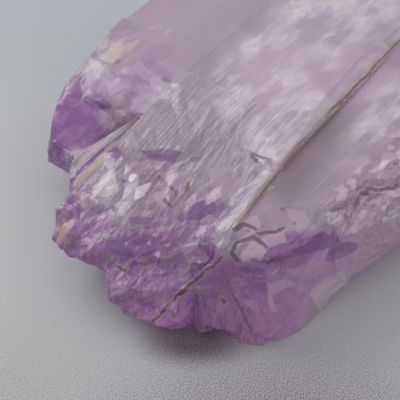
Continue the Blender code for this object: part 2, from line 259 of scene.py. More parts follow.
# The camera: turned from -Y towards +X and raised, in degrees, so far from a point, in millimetres, with its
# focal length and its sensor's width in millimetres.
CAMERA_TURN = -52
CAMERA_RISE = 45
CAMERA_AWAY = 200
CAMERA_AIM = (-8.5, 3.0, 0)
CAMERA_LENS = 135
CAMERA_SENSOR = 36
# The window light: its place and side in metres, and its power in watts.
LIGHT_PLACE = (-0.02, 0.62, 0.52)
LIGHT_SIDE = 0.5
LIGHT_POWER = 3
# The light of the room all round, and the floor's side in metres.
AIR_COLOUR = (1, 0.99, 1, 1)
AIR_STRENGTH = 0.75
FLOOR_SIDE = 6


def unit(turn, tilt):
    """The unit vector at turn degrees round from +X towards +Y, tilt degrees up from level."""
    a, e = math.radians(turn), math.radians(tilt)
    return np.array((math.cos(a) * math.cos(e), math.sin(a) * math.cos(e), math.sin(e)))


def block_planes(low, high, faces):
    """A block's outward normals and their distances from the origin."""
    normals = [unit(turn, tilt) for turn, tilt, _ in faces]
    distances = [normal @ np.array(point) for normal, (_, _, point) in zip(normals, faces)]
    axes = list(np.eye(3)) + list(-np.eye(3))
    return np.array(normals + axes), np.array(distances + list(high) + [-value for value in low])


def reach(starts, ways):
    """How far each ray runs in the stone.

    A ray leaves a block at the nearest plane that it crosses outwards, and enters it at the farthest that it
    crosses inwards. Blocks are passed through one after the other, over gaps no wider than a crack, and five
    passes take a ray through as many as lie in a row.
    """
    enters, leaves = [], []
    for low, high, faces in BLOCKS.values():
        enter = np.full(len(starts), -1e9)
        leave = np.full(len(starts), 1e9)
        for normal, distance in zip(*block_planes(low, high, faces)):
            slope = ways @ normal
            room = distance - starts @ normal
            slope = np.where(np.abs(slope) < 1e-9, 1e-9, slope)
            crossing = room / slope
            leave = np.where(slope > 0, np.minimum(leave, crossing), leave)
            enter = np.where(slope < 0, np.maximum(enter, crossing), enter)
        hit = enter < leave
        enters.append(np.where(hit, enter, 1e9))
        leaves.append(np.where(hit, leave, 0))
    enters, leaves = np.array(enters), np.array(leaves)
    far = np.zeros(len(starts))
    for _ in range(5):
        far = np.maximum(far, np.where(enters <= far + CRACK, leaves, 0).max(axis=0))
    return far


def along_loop(count):
    """Evenly spaced points round the core loop, as a closed rounded line, and their outward directions."""
    corners = np.array(CORE_LOOP + CORE_LOOP[:1], float)
    lengths = np.r_[0, np.cumsum(np.hypot(*np.diff(corners, axis=0).T))]
    at = np.linspace(0, lengths[-1], count, endpoint=False)
    points = np.stack([np.interp(at, lengths, corners[:, i]) for i in (0, 1)], axis=1)
    points = ring_blur(points, count // 60)
    run = np.roll(points, -1, axis=0) - np.roll(points, 1, axis=0)
    run = ring_blur(run, count // 40)
    out = np.stack([-run[:, 1], run[:, 0]], axis=1)
    out /= np.linalg.norm(out, axis=1, keepdims=True)
    facing = np.sign((out * (points - np.array(CORE_MIDDLE))).sum())
    return points, out * facing


def ring_blur(values, width):
    """The mean over width neighbours on each side, round a closed line."""
    padded = np.concatenate([values[-width:], values, values[:width]])
    total = np.cumsum(np.concatenate([np.zeros_like(values[:1]), padded]), axis=0)
    return (total[2 * width + 1:] - total[:-2 * width - 1]) / (2 * width + 1)


def soft_step(value, low, high):
    """0 below low, 1 above high, and a smooth rise between."""
    t = np.clip((value - low) / (high - low), 0, 1)
    return t * t * (3 - 2 * t)


def cell_kinds(cells, seed):
    """The kind of each cell of a lattice: its three numbers and a seed times large primes, bit by bit."""
    a, b, c, d = PRIMES
    return (cells[:, 0] * a ^ cells[:, 1] * b ^ cells[:, 2] * c ^ seed * d) % KINDS


def splinters(points, cell, seed, stretch):
    """Height, up to about 1, of flat-sided splinters strewn through space.

    Space is cut in cells, and each holds one tip at a random place with a random height. Around it the
    height falls off along the four directions of a turned tetrahedron, and the greatest fall counts, so each
    splinter is a pyramid. The highest pyramid of the 27 cells around a point gives the height there.
    """
    rng = np.random.default_rng(seed)
    turned = np.linalg.qr(rng.normal(size=(KINDS, 3, 3)))[0]
    corners = np.array([(1, 1, 1), (1, -1, -1), (-1, 1, -1), (-1, -1, 1)], float)
    falls = (corners @ turned) * rng.uniform(0.5, 1.3, (KINDS, 4, 1))
    tips = rng.uniform(0.1, 0.9, (KINDS, 3))
    heights = rng.uniform(0.55, 1.0, KINDS)
    scaled = points / (cell * np.array(stretch, float))
    home = np.floor(scaled).astype(np.int64)
    best = np.full(len(points), -1.0)
    for step in np.ndindex(3, 3, 3):
        at = home + np.array(step) - 1
        kind = cell_kinds(at, seed)
        from_tip = scaled - at - tips[kind]
        fall = np.einsum("nij,nj->ni", falls[kind], from_tip).max(axis=1)
        best = np.maximum(best, heights[kind] - fall)
    return best


def patches(points, size, seed, stretch, soft):
    """A number from 0 to 1 that is the same all over each of a set of flat-sided cells.

    A point belongs to the nearest of the random middles in the 27 cells around it. Within a softness of a
    seam the numbers of the two nearest middles run into each other.
    """
    rng = np.random.default_rng(seed)
    middles = rng.uniform(0.05, 0.95, (KINDS, 3))
    numbers = rng.uniform(0, 1, KINDS)
    scaled = points / (size * np.array(stretch, float))
    home = np.floor(scaled).astype(np.int64)
    near, next_near = np.full(len(points), 9.0), np.full(len(points), 9.0)
    value, next_value = np.zeros(len(points)), np.zeros(len(points))
    for step in np.ndindex(3, 3, 3):
        at = home + np.array(step) - 1
        kind = cell_kinds(at, seed)
        distance = np.linalg.norm(scaled - at - middles[kind], axis=1)
        first = distance < near
        second = ~first & (distance < next_near)
        next_value = np.where(first, value, np.where(second, numbers[kind], next_value))
        next_near = np.where(first, near, np.where(second, distance, next_near))
        value = np.where(first, numbers[kind], value)
        near = np.where(first, distance, near)
    share = 0.5 * (1 - soft_step(next_near - near, 0, soft))
    return value + (next_value - value) * share


def cloud(points, size, seed, detail=3, stretch=(1, 1, 1)):
    """Smooth noise, about -1 to 1: random numbers on ever finer lattices, blended between their corners."""
    total = np.zeros(len(points))
    for octave in range(detail):
        numbers = np.random.default_rng(seed + octave).uniform(-1, 1, KINDS)
        scaled = points / (size * 0.5 ** octave * np.array(stretch, float))
        home = np.floor(scaled).astype(np.int64)
        part = scaled - home
        part = part * part * (3 - 2 * part)
        for step in np.ndindex(2, 2, 2):
            weight = np.where(np.array(step) == 1, part, 1 - part).prod(axis=1)
            total += weight * numbers[cell_kinds(home + np.array(step), seed + octave)] * 0.6 ** octave
    return total


def spots(points, several):
    """The strongest of several ellipsoids: 1 inside, falling from a share of the radius to 0 at its end."""
    found = np.zeros(len(points))
    for middle, radii, turn, hard in several:
        along, across = math.cos(math.radians(turn)), math.sin(math.radians(turn))
        turned = np.array([(along, -across, 0), (across, along, 0), (0, 0, 1)])
        away = np.linalg.norm(((points - np.array(middle)) @ turned) / np.array(radii), axis=1)
        found = np.maximum(found, 1 - soft_step(away, hard, 1))
    return found


def line_distance(points, corners, through):
    """Distance to a line through some corners, as seen along a direction, so it goes on into the stone."""
    through = np.array(through) / np.linalg.norm(through)
    flat = points - np.outer(points @ through, through)
    corners = np.array(corners, float)
    corners = corners - np.outer(corners @ through, through)
    found = np.full(len(points), 99.0)
    for start, end in zip(corners, corners[1:]):
        run = end - start
        share = np.clip((flat - start) @ run / (run @ run), 0, 1)
        found = np.minimum(found, np.linalg.norm(flat - start - np.outer(share, run), axis=1))
    return found


def grid_blur(values, width):
    """The mean over a square of neighbours on the grid, which is closed along its second axis."""
    done = np.moveaxis(ring_blur(np.moveaxis(values, 1, 0), width), 0, 1)
    padded = np.concatenate([done[:1]] * width + [done] + [done[-1:]] * width)
    total = np.cumsum(np.concatenate([np.zeros_like(done[:1]), padded]), axis=0)
    return (total[2 * width + 1:] - total[:-2 * width - 1]) / (2 * width + 1)


def grid_normals(points):
    """The outward directions of a grid surface, from the cross product of its two runs."""
    along = np.roll(points, -1, axis=1) - np.roll(points, 1, axis=1)
    down = np.gradient(points, axis=0)
    normals = np.cross(along, down)
    normals /= np.linalg.norm(normals, axis=2, keepdims=True) + 1e-12
    return normals


def crystal_grid(around, out_rows, fan_rows, under_rows):
    """Points of the whole surface, row by row from the middle of the top to the middle of the underside.

    Over the core loop the rays run straight up, from its middle out to its rim. Round the rim they fan from
    straight up, over level, to straight down. Under the loop they run straight down, from the rim to the
    middle. The point is where the ray leaves the stone.
    """
    rim, out = along_loop(around)
    middle = np.array(CORE_MIDDLE)
    shares = np.linspace(0, 1, out_rows)[:, None, None]
    top = middle + (rim - middle) * shares
    under = middle + (rim - middle) * np.linspace(1, 0, under_rows)[:, None, None]
    angles = np.linspace(math.pi / 2, -math.pi / 2, fan_rows + 2)[1:-1, None]
    fan = np.broadcast_to(rim, (fan_rows, around, 2))
    plan = np.concatenate([top, fan, under])
    starts = np.concatenate([plan, np.full(plan.shape[:2] + (1,), CORE_HEIGHT)], axis=2)
    ways = np.zeros_like(starts)
    ways[:out_rows, :, 2] = 1
    ways[out_rows:out_rows + fan_rows, :, :2] = np.cos(angles)[:, :, None] * out
    ways[out_rows:out_rows + fan_rows, :, 2] = np.sin(angles)
    ways[out_rows + fan_rows:, :, 2] = -1
    flat_starts, flat_ways = starts.reshape(-1, 3), ways.reshape(-1, 3)
    far = reach(flat_starts, flat_ways)
    return (flat_starts + flat_ways * far[:, None]).reshape(starts.shape)


def mesh_from_grid(points, name):
    """A closed mesh of a grid whose first and last rows are single points."""
    rows, around = points.shape[:2]
    verts = np.concatenate([points[:1, 0], points[1:-1].reshape(-1, 3), points[-1:, 0]]) * MM
    count = len(verts)
    index = 1 + np.arange((rows - 2) * around).reshape(rows - 2, around)
    side = np.roll(index, -1, axis=1)
    quads = np.stack([index[:-1], index[1:], side[1:], side[:-1]], axis=2).reshape(-1, 4)
    first = np.stack([np.zeros(around, int), index[0], side[0]], axis=1)
    last = np.stack([np.full(around, count - 1), side[-1], index[-1]], axis=1)
    loops = np.concatenate([first.ravel(), quads.ravel(), last.ravel()])
    sizes = np.concatenate([np.full(around, 3), np.full(len(quads), 4), np.full(around, 3)])
    mesh = bpy.data.meshes.new(name)
    mesh.vertices.add(count)
    mesh.vertices.foreach_set("co", verts.astype(np.float32).ravel())
    mesh.loops.add(len(loops))
    mesh.loops.foreach_set("vertex_index", loops.astype(np.int32))
    mesh.polygons.add(len(sizes))
    mesh.polygons.foreach_set("loop_start", np.r_[0, np.cumsum(sizes)[:-1]].astype(np.int32))
    mesh.update(calc_edges=True)
    mesh.validate()
    return mesh


def rib_share(places):
    """1 on the straight rib beside the ledge, and 0 away from it."""
    return (1 - soft_step(line_distance(places, RIB_TOP, INTO), 1.0, 2.2)) * soft_step(places[:, 2], 11, 12)


def low_wall(places):
    """1 on the calmer wall low on the right of the broken end, and 0 away from it."""
    x, y, z = places.T
    return (1 - soft_step(y, -12, -9)) * (1 - soft_step(z, 10, 12)) * (1 - soft_step(x, -12, -8))


def broken_share(places, up):
    """How rough each place is, from 0 on the grown faces to 1 on the broken ones, by its place and slope."""
    x, y, z = places.T
    near = 1 - soft_step(x + 0.25 * np.abs(y + 4), -17.5, -14.5)
    ledge = soft_step(z, 11.5, 12.5) * (1 - soft_step(x, -19, -16))
    shoulder = soft_step(y, 10, 12.5) * (1 - soft_step(x, -8, -2.5))
    saddle = (1 - soft_step(x, -9, -4)) * soft_step(y, -10.5, -9)
    flank = (1 - soft_step(y, -20, -17.5)) * soft_step(x, -14, -12)
    far = soft_step(x, 27, 29)
    side = 1 - soft_step(np.abs(up), 0.75, 0.9)
    share = np.maximum.reduce([
        near * (1 - 0.4 * ledge), 0.3 * shoulder, 0.2 * saddle, 0.8 * flank, far, 0.5 * side,
    ])
    return np.clip(share * (1 - 0.45 * low_wall(places)), 0, 1)


def softened(points, broken):
    """The grid surface with its block edges rounded where the stone is broken and at the left plate's end."""
    flat = points.reshape(-1, 3)
    x, y, z = flat.T
    saddle = (1 - soft_step(x, -5, -2)) * soft_step(y, -10.4, -9.4)
    share = 0.75 * broken * soft_step(z, 0.8, 3) * (1 - low_wall(flat))
    share = np.maximum(share, 0.9 * saddle * soft_step(z, 11, 13)) * (1 - 0.9 * rib_share(flat))
    plate_end = soft_step(x, -15, -12.5) * (1 - soft_step(x, -8, -5)) * soft_step(y, -9.8, -8)
    plate_end = plate_end * (1 - soft_step(y, 4, 7)) * soft_step(z, 11, 13)
    share, plate_end = (values.reshape(points.shape[:2] + (1,)) for values in (share, plate_end))
    share[:STILL_ROWS] = 0
    share[-STILL_ROWS:] = 0
    melted = grid_blur(grid_blur(points, SOFTENING), SOFTENING)
    points = points + (melted - points) * share
    return points + (grid_blur(grid_blur(points, PLATE_SOFTENING), PLATE_SOFTENING) - points) * plate_end


def worked_surface(points, sizes):
    """The grid surface with its fine growth and breakage raised along softened outward directions."""
    outward = grid_normals(points)
    outward *= np.sign((outward * (points - np.array(CORE_MIDDLE + (CORE_HEIGHT,)))).sum())
    outward = grid_blur(outward, SOFTENING)
    outward /= np.linalg.norm(outward, axis=2, keepdims=True) + 1e-12
    up = outward.reshape(-1, 3)[:, 2]
    broken = broken_share(points.reshape(-1, 3), up)
    rib = rib_share(points.reshape(-1, 3))
    points = softened(points, broken)
    flat = points.reshape(-1, 3)
    x, y, _ = flat.T

    middle_band = (1 - soft_step(x, -6, 6)) * soft_step(y, -10.5, -9.5)
    right_band = 1 - soft_step(y, -15.5, -14)
    streaky = np.maximum(middle_band, 0.6 * right_band)
    calm = soft_step(up, 0.9, 0.97) * (1 - broken)

    splinter = sizes.splinter / MM
    proud = sizes.roughness / MM
    large = splinters(flat, 1.7 * splinter, 3, (1.6, 1, 1)) - 0.4
    middle = splinters(flat, 0.75 * splinter, 4, (1.6, 1, 1)) - 0.4
    ridges = splinters(flat, 1.0, 8, (9, 0.6, 6)) - 0.3
    height = broken * (1 - 0.8 * rib) * proud * (large + 0.36 * middle)
    height += calm * (sizes.ridge / MM) * ridges * (0.1 + 0.9 * streaky)
    worked = points + outward * height.reshape(points.shape[:2])[:, :, None]
    low = np.array(CAD_BOX[0]) / MM + 0.01
    high = np.array(CAD_BOX[1]) / MM - 0.01
    low[2] = 0
    return np.clip(worked, low, high)


# The way that cracks and facets of the broken end go in.
INTO = (-0.557, -0.435, 0.707)
# Where things run, corner by corner in millimetres: stained cracks, the rib with its groove and its dirty
# foot, dark strips, thin dark threads, and one long sliver.
CRACKS = [
    [(-30.9, -7.3, 3.2), (-28.6, -8.4, 5.4), (-26.8, -9.2, 6.7), (-25.1, -10.0, 7.9), (-23.7, -12.2, 11.7)],
    [(-26.8, -12.1, 2.7), (-25.6, -12.7, 4.4), (-24.7, -13.5, 5.4), (-24.9, -13.0, 6.1)],
    [(-27.4, 0.9, 10.8), (-26.2, -1.0, 11.5), (-25.2, -2.0, 11.6)],
    [(-30.0, -1.2, 8.1), (-29.9, -2.1, 8.3)],
    [(-28.3, -3.4, 8.9), (-27.9, -4.1, 8.9)],
]
RIB_TOP = [(-25.0, 10.4, 12.6), (-19.5, 10.6, 13.8), (-11.5, 9.4, 15.0)]
RIB_GROOVE = [(-24.9, 9.9, 12.4), (-21.5, 9.9, 13.2), (-19.6, 9.8, 13.4)]
RIB_FOOT = [(-25.2, 9.1, 12.4), (-22.0, 8.9, 12.9), (-19.8, 9.3, 13.0)]
STRIPS = [
    [(-21.3, -12.1, 14.4), (-19.7, -12.2, 14.2), (-19.3, -13.9, 13.9)],
    [(-22.3, -13.2, 13.6), (-19.4, -14.5, 13.7), (-17.3, -16.3, 13.9)],
    [(-20.3, -14.4, 13.5), (-20.4, -16.0, 13.2)],
    [(-22.6, -13.2, 13.5), (-23.2, -13.1, 12.7), (-22.9, -14.2, 11.6)],
    [(-21.3, -1.5, 13.0), (-21.7, -2.8, 12.8)],
]
THREADS = [
    [(-22.1, -15.5, 12.4), (-19.5, -18.1, 11.8), (-18.5, -18.4, 12.7), (-16.3, -19.1, 13.3),
     (-12.7, -20.8, 12.6)],
    [(-18.8, 1.2, 13.2), (-19.5, -1.4, 13.1), (-20.0, -2.6, 13.0)],
    [(-15.2, -14.9, 14.8), (-15.8, -17.4, 14.1), (-16.5, -18.8, 13.3)],
    [(-11.1, -21.0, 11.8), (-8.0, -20.5, 12.7), (-5.7, -20.1, 13.4)],
    [(-5.9, 19.0, 14.6), (-6.7, 17.9, 14.8)],
    [(-11.3, 20.8, 12.9), (-12.4, 19.5, 12.8)],
    [(-10.9, -6.8, 15.6), (-11.2, -8.7, 15.2), (-11, -10.2, 15.6)],
    [(-15.3, -0.4, 14.3), (-14.2, -1.5, 14.6), (-12.9, -2.3, 15)],
    [(-16.8, -2.8, 13.5), (-18, -2.8, 13.3), (-19.1, -3.1, 13.4)],
    [(-8.3, 11.7, 15.9), (-6.7, 11.6, 15.9), (-6.8, 9.2, 16.3)],
]
SLIVER = [(-5.7, -20.1, 13.4), (-3.8, -21.2, 12.9), (-0.8, -21.9, 12.4)]
# The plain facets, each with its strength from 0 to 1 and its corners: frosted chips, clear pale ones, deep
# violet ones, dirty ones and milky veils.
FACETS = {
    "chip": [
        (0.8, [(-24.8, 6.9, 12.8), (-20.8, 6.9, 13), (-23.5, 3.9, 13), (-25, 4.5, 12.6), (-25.5, 6.4, 12.4)]),
        (1, [(-20.5, 4.8, 13.1), (-20, 3.8, 13.1), (-21.4, 3.5, 13), (-21.4, 4.1, 13)]),
        (0.9, [(-21.9, 2.4, 13), (-20, 1.5, 13.1), (-22.2, 0.6, 13), (-23.8, 1.2, 13)]),
        (0.55, [(-17.7, 1.5, 13.4), (-14.1, -0.7, 14.7), (-12.2, -1.3, 15.5), (-13.2, -1.6, 15),
              (-16.1, -0.5, 13.9)]),
        (0.5, [(-20.7, -8.5, 12.8), (-18.6, -11.2, 15), (-19.1, -11.9, 14.7), (-21.7, -11.9, 14.6),
              (-22.6, -11, 14.1)]),
        (0.6, [(-27, 7.1, 11.5), (-26.4, 6.7, 11.9), (-26.9, 5.9, 11.5), (-27.3, 6.6, 11.4)]),
        (0.7, [(-26, 5.9, 12.1), (-25.5, 5.2, 12.4), (-26.5, 4.8, 12.2)]),
        (0.6, [(-27.5, 4, 11.1), (-26.5, 3.6, 11.7), (-27.1, 3.2, 11.3)]),
        (0.7, [(-12.1, -18.8, 13.9), (-10.4, -19.5, 13.5), (-10.3, -20.3, 12.7), (-11.9, -20.8, 12.8),
              (-12.6, -19.4, 13.1)]),
        (0.6, [(-6.9, 21.4, 14.2), (-2.6, 21.3, 14.2), (-4, 19.3, 14.6), (-6.8, 18.8, 14.6),
              (-7.4, 19.9, 14.5)]),
        (0.7, [(-25.6, -4.8, 10.5), (-24.9, -5.1, 11), (-25.1, -5.6, 10.5)]),
        (0.7, [(-26.6, -2.9, 10.6), (-26.1, -3.4, 10.8), (-26.7, -3.6, 10.3)]),
        (0.6, [(-27.1, -4.3, 9.9), (-26.2, -4.7, 10.2), (-26.9, -5, 9.6)]),
        (0.5, [(-22.1, -7, 11.5), (-20.7, -7.4, 11.9), (-22, -8.7, 12.8), (-23.3, -8.4, 12.4)]),
        (0.6, [(-5, -17.7, 14.8), (-3.2, -18, 14.7), (-4.3, -18.7, 14.6)]),
        (0.5, [(-6, -21.4, 13), (-3.7, -21.8, 12.2), (-5.1, -22.1, 11.7)]),
        (0.5, [(-8.5, -20.9, 12.3), (-6.9, -21.6, 12.1), (-8.4, -21.7, 11.7)]),
        (0.6, [(-5.1, -23.1, 11), (-3.5, -23.5, 11), (-4.3, -24.1, 10.3)]),
        (0.7, [(-7.5, 8.5, 16.6), (-6.8, 7.9, 16.7), (-7.4, 7.6, 16.6), (-7.8, 8, 16.5)]),
        (0.2, [(-7.3, 13.8, 15.5), (-5.7, 13.5, 15.6), (-4.8, 12.8, 15.7), (-6.4, 12.5, 15.8)]),
        (0.4, [(-14.2, -11.5, 15.1), (-13.2, -11.6, 15.3), (-13.1, -12.3, 15.2), (-14.4, -12.1, 15.1)]),
        (0.5, [(-19, -11.4, 15), (-16.3, -11.6, 15.1), (-16.3, -11.9, 14.8), (-18.6, -11.8, 14.9),
              (-20.4, -12, 14.5), (-21.2, -11.7, 14.7)]),
        (0.4, [(-9.9, 20, 13.5), (-9.3, 19.2, 14), (-10, 18.1, 14.1), (-10.3, 19, 13.6)]),
        (0.35, [(-7.7, 16.9, 15), (-6.5, 16.2, 15.1), (-7.7, 15.5, 15.2), (-8.3, 16.2, 15.1)]),
        (0.35, [(-17.5, 18, 10), (-16.7, 17.5, 10.2), (-16.9, 17, 9.9), (-17.6, 17.5, 9.8)]),
    ],
    "pale": [
        (0.4, [(1.3, 17.4, 14.9), (3.2, 17.8, 14.9), (3, 16.1, 15.2), (0.9, 16.5, 15.1)]),
        (0.8, [(-19.9, -14.9, 13.5), (-17.3, -16.2, 13.9), (-18.3, -17.7, 13.3), (-20.3, -16.2, 13.1)]),
        (0.55, [(-15.2, -14.9, 14.8), (-13.8, -16.8, 14.7), (-15, -19.7, 13.5), (-16.7, -18.6, 13.3)]),
        (0.7, [(-21.3, -12.7, 13.6), (-19.2, -13.8, 14), (-19.7, -14.6, 13.7), (-22, -13.1, 13.4)]),
        (0.8, [(-22.9, -14.2, 12.9), (-20.8, -14.2, 13.5), (-20.3, -15.2, 13.4), (-20.3, -16.2, 13.1),
              (-21.8, -16.6, 12.8), (-22.6, -14.6, 11.9)]),
        (0.7, [(-21.9, -17.6, 10.1), (-21.8, -18.2, 8.4), (-21.7, -19.1, 4.7), (-22.5, -18.7, 5.5),
              (-22.3, -17.9, 8)]),
        (0.8, [(-21.9, -17.8, 9.5), (-19.4, -18.9, 8.8), (-18.8, -19.6, 7.5), (-21.7, -18.3, 7.8)]),
        (1, [(-15.4, -20.8, 6.2), (-12, -21.7, 5.9), (-10.8, -22, 3.3), (-11.4, -20.8, 0.2),
              (-14.8, -20.8, 0.3), (-17.1, -20.5, 5.2)]),
        (0.7, [(-13.6, 17, 11.5), (-12.4, 12.3, 14), (-12.5, 11.7, 13.3), (-14, 14.5, 10.1)]),
        (0.9, [(-18.6, 18.5, 9.6), (-19.6, 10.8, 14), (-21.5, 11.2, 13.7), (-19.2, 17, 8.3)]),
        (0.4, [(-18.5, 2.1, 13.3), (-16.3, -2, 13.8), (-20, -2.6, 13)]),
        (0.5, [(-14.8, -3.1, 14.3), (-13, -5.4, 14.8), (-14.2, -8.6, 14), (-17.3, -7.9, 12.9),
              (-17.5, -5.6, 13)]),
        (0.5, [(-21.8, 0, 13), (-19.9, -0.3, 13.1), (-21.4, -2.5, 13), (-22.5, -1.8, 12.8)]),
        (0.5, [(-24.6, -6.3, 10.6), (-22.9, -6.8, 11.3), (-23.4, -8.6, 11.2), (-24.8, -7.6, 9.9)]),
        (0.6, [(-20.7, -11.3, 14.8), (-17.6, -12.8, 14.6), (-18.5, -14.1, 14.1), (-20.1, -12.9, 13.9)]),
        (0.4, [(-32.2, -1.8, 7.2), (-30.6, -2.7, 7.8), (-31.3, -4.2, 7.2), (-32.6, -2.7, 5.9)]),
        (0.5, [(-7.4, 12, 15.8), (-6.3, 10.8, 16.1), (-7.4, 9.1, 16.4), (-8.8, 9.2, 16.2), (-8.8, 10.8, 16)]),
        (0.4, [(2.1, 20.6, 14.4), (3.4, 19.2, 14.6), (2.3, 18, 14.8), (1, 19, 14.6)]),
        (0.5, [(-11.4, -7.9, 15.2), (-11.4, -8.8, 15.1), (-11.7, -11, 15.7), (-12.7, -11.3, 15.5),
              (-14.1, -10.8, 15.5), (-12.5, -9, 14.7)]),
        (0.4, [(-8.1, 21.8, 13.7), (-7.5, 20.6, 14.3), (-7.9, 18.8, 14.6), (-8.8, 19.8, 14.1),
              (-8.9, 21.2, 13.6)]),
        (0.5, [(-11.5, 15, 14.1), (-10.8, 13.9, 14.6), (-11.4, 12.8, 14.4), (-12.4, 13.3, 13.8),
              (-12.3, 14.4, 13.8)]),
        (0.35, [(-6.3, 16.3, 15.1), (-5.2, 15.2, 15.3), (-6, 13.2, 15.6), (-7.3, 13.8, 15.5),
              (-7.7, 15.5, 15.2)]),
        (0.35, [(-16.5, 20.8, 11.4), (-15.3, 20.3, 11.8), (-15.4, 19.1, 11.3), (-17.1, 19, 10.5),
              (-17.5, 20, 10.6)]),
        (0.3, [(-17.4, 18.8, 10.3), (-15.7, 17.8, 10.8), (-15.4, 16.4, 10.4), (-16.8, 16.2, 9.7),
              (-17.7, 17.8, 9.8)]),
        (0.3, [(-16.4, 15.9, 9.8), (-15.2, 14.9, 9.9), (-18.9, 10.8, 13.7), (-20.7, 10.9, 13.9),
              (-17.2, 15.6, 9.3)]),
    ],
    "gem": [
        (0.9, [(-19.2, 9.2, 13.3), (-18.8, 7.9, 14.3), (-18.9, 6.5, 13.6), (-20, 8.1, 13.2)]),
        (0.75, [(-17.9, 5.4, 14.5), (-15.5, 2.1, 15.1), (-15.1, 0.6, 15), (-16.7, 0.8, 14.2),
              (-17.7, 3.5, 13.9)]),
        (0.7, [(-25.5, 0.6, 12.1), (-23.6, -2.1, 12.2), (-25.3, -1.6, 11.7), (-25.9, 0, 11.6)]),
        (0.9, [(-19.5, -5, 13), (-17.8, -5.9, 13), (-18.4, -7.5, 12.6), (-20.4, -6.9, 12.2),
              (-22.3, -5, 11.9), (-22.6, -3.9, 12.1)]),
        (0.6, [(-28.6, 0.9, 10.4), (-25.8, -2.5, 11.3), (-25.2, -4.6, 10.9), (-27.3, -4.2, 9.6),
              (-29.4, -0.8, 9.1), (-30.1, 1.1, 9.5)]),
        (0.9, [(-31.8, -5.1, 6.3), (-30.4, -6.7, 7.1), (-30.2, -7.3, 6), (-31, -6.1, 5)]),
        (0.8, [(-27.6, 9.5, 11.2), (-26.4, 8.3, 11.9), (-27.4, 8, 11.3), (-28.1, 9.2, 11)]),
        (0.8, [(-22, -16, 12.2), (-19.6, -18, 11.8), (-20.6, -17.8, 11), (-22, -17.5, 10.5),
              (-23.5, -13.6, 10.3)]),
        (0.85, [(-18.7, -18.3, 12.7), (-12.7, -20.8, 12.6), (-12, -21.1, 10.6), (-14.6, -20.5, 10.9),
              (-18, -19.1, 11.8)]),
        (0.7, [(-13.6, -21, 11.9), (-9.5, -22.4, 9), (-10.1, -22.3, 7.9), (-12.4, -21.8, 8.3),
              (-14.7, -20.7, 8.8)]),
        (0.55, [(-23.1, -15, 9.7), (-22, -17.5, 10.5), (-22.6, -18.4, 6.1), (-23, -17.1, 6.5)]),
        (0.6, [(-11.3, 22.8, 13), (-9.1, 22, 13.1), (-10.3, 17, 14.3), (-12.1, 15.1, 13.8),
              (-13.3, 18.4, 12.1), (-14.1, 20.7, 12.5)]),
        (1, [(-13.3, 18.8, 12.3), (-12.1, 15.9, 13.7), (-12.5, 14.1, 13.1), (-13.2, 17, 11.7)]),
        (0.5, [(-15.4, 20.7, 11.9), (-13.9, 18.3, 11.8), (-14.5, 14.4, 9.8), (-19.5, 11.4, 13.6),
              (-17.8, 19.1, 10.2)]),
        (0.75, [(-17.9, 20.5, 10.6), (-17.1, 20.8, 11.1), (-19.2, 17, 8.3), (-19.3, 16.5, 6.4),
              (-19.7, 19.4, 6)]),
        (0.7, [(-19.7, 19.4, 5.6), (-19.2, 16.5, 8), (-19.5, 17.3, 5.5)]),
        (0.9, [(-21.8, 5.1, 13), (-21.3, 4.4, 13), (-21.2, 3.5, 13), (-22, 4.2, 13)]),
        (0.5, [(-27, -5.4, 9.2), (-24.8, -7.3, 9.9), (-25.2, -8.5, 8.7), (-27.6, -7.4, 8.3)]),
        (0.6, [(-29, -7.7, 7), (-27.2, -8.3, 8.2), (-26.8, -8.9, 7.6), (-28.8, -8.3, 6)]),
        (0.5, [(-23.7, -14.9, 8.3), (-22.7, -16.2, 9.3), (-23.3, -16.4, 6.7), (-24, -15.5, 6)]),
        (0.6, [(-22.3, -8.5, 12.6), (-22.5, -10.3, 15), (-23.3, -10.7, 13.5), (-23.5, -9.4, 12.1)]),
        (0.3, [(-5.2, 15.6, 15.2), (-4.2, 14.7, 15.4), (-4.5, 12.2, 15.8), (-5.5, 9.6, 16.3),
              (-6.6, 9.4, 16.3), (-6.6, 11.4, 16), (-5.9, 14, 15.5)]),
        (0.22, [(-3, 17.4, 14.9), (-0.3, 16.2, 15.1), (-0.2, 13.2, 15.9), (-2.5, 12.3, 15.8),
              (-4.1, 14.4, 15.4), (-5, 15.7, 15.2)]),
        (0.4, [(-9, 16.1, 15.1), (-7.5, 14, 15.5), (-8.5, 11.1, 16), (-9.5, 10.6, 15.7),
              (-10, 11.9, 15.3), (-10.3, 14.4, 14.8)]),
        (0.35, [(-11.8, 12.6, 14.3), (-10.6, 11.1, 15.1), (-11, 8.3, 15.9), (-12.9, 7.9, 15.6),
              (-12.5, 10.9, 13.3)]),
        (0.25, [(-10.7, 16.6, 14.2), (-10, 15.3, 14.9), (-10.4, 13.9, 14.8), (-11.4, 14.2, 14.3),
              (-11.4, 15.8, 14.1)]),
        (0.25, [(-1.2, 23.8, 13.8), (0.8, 23, 14), (1.4, 21, 14.3), (-0, 20.6, 14.4),
              (-2.2, 21.6, 14.2), (-3.7, 22.4, 14)]),
        (0.5, [(-6.7, 23.2, 13.9), (-6, 22.4, 14), (-7.1, 21.4, 14.2), (-7.5, 22.1, 13.9)]),
        (0.2, [(-17.5, -4.7, 13.6), (-14.5, -5.1, 14.2), (-12.6, -7.9, 14.7), (-11.7, -9.1, 14.9),
              (-14.2, -10.3, 15.2), (-15.7, -9.5, 14.3), (-17.2, -8.1, 13), (-17.8, -6.8, 13)]),
        (0.5, [(-18.5, -6.9, 12.9), (-17.2, -7.8, 13), (-18.2, -9.4, 13.9), (-19.7, -8.8, 13.2),
              (-19.6, -7.7, 12.3)]),
        (0.3, [(-14.3, -4.9, 14.3), (-13, -6.4, 14.7), (-11.6, -6.5, 15.2), (-13.3, -6.6, 14.5),
              (-14.5, -5.7, 14.2)]),
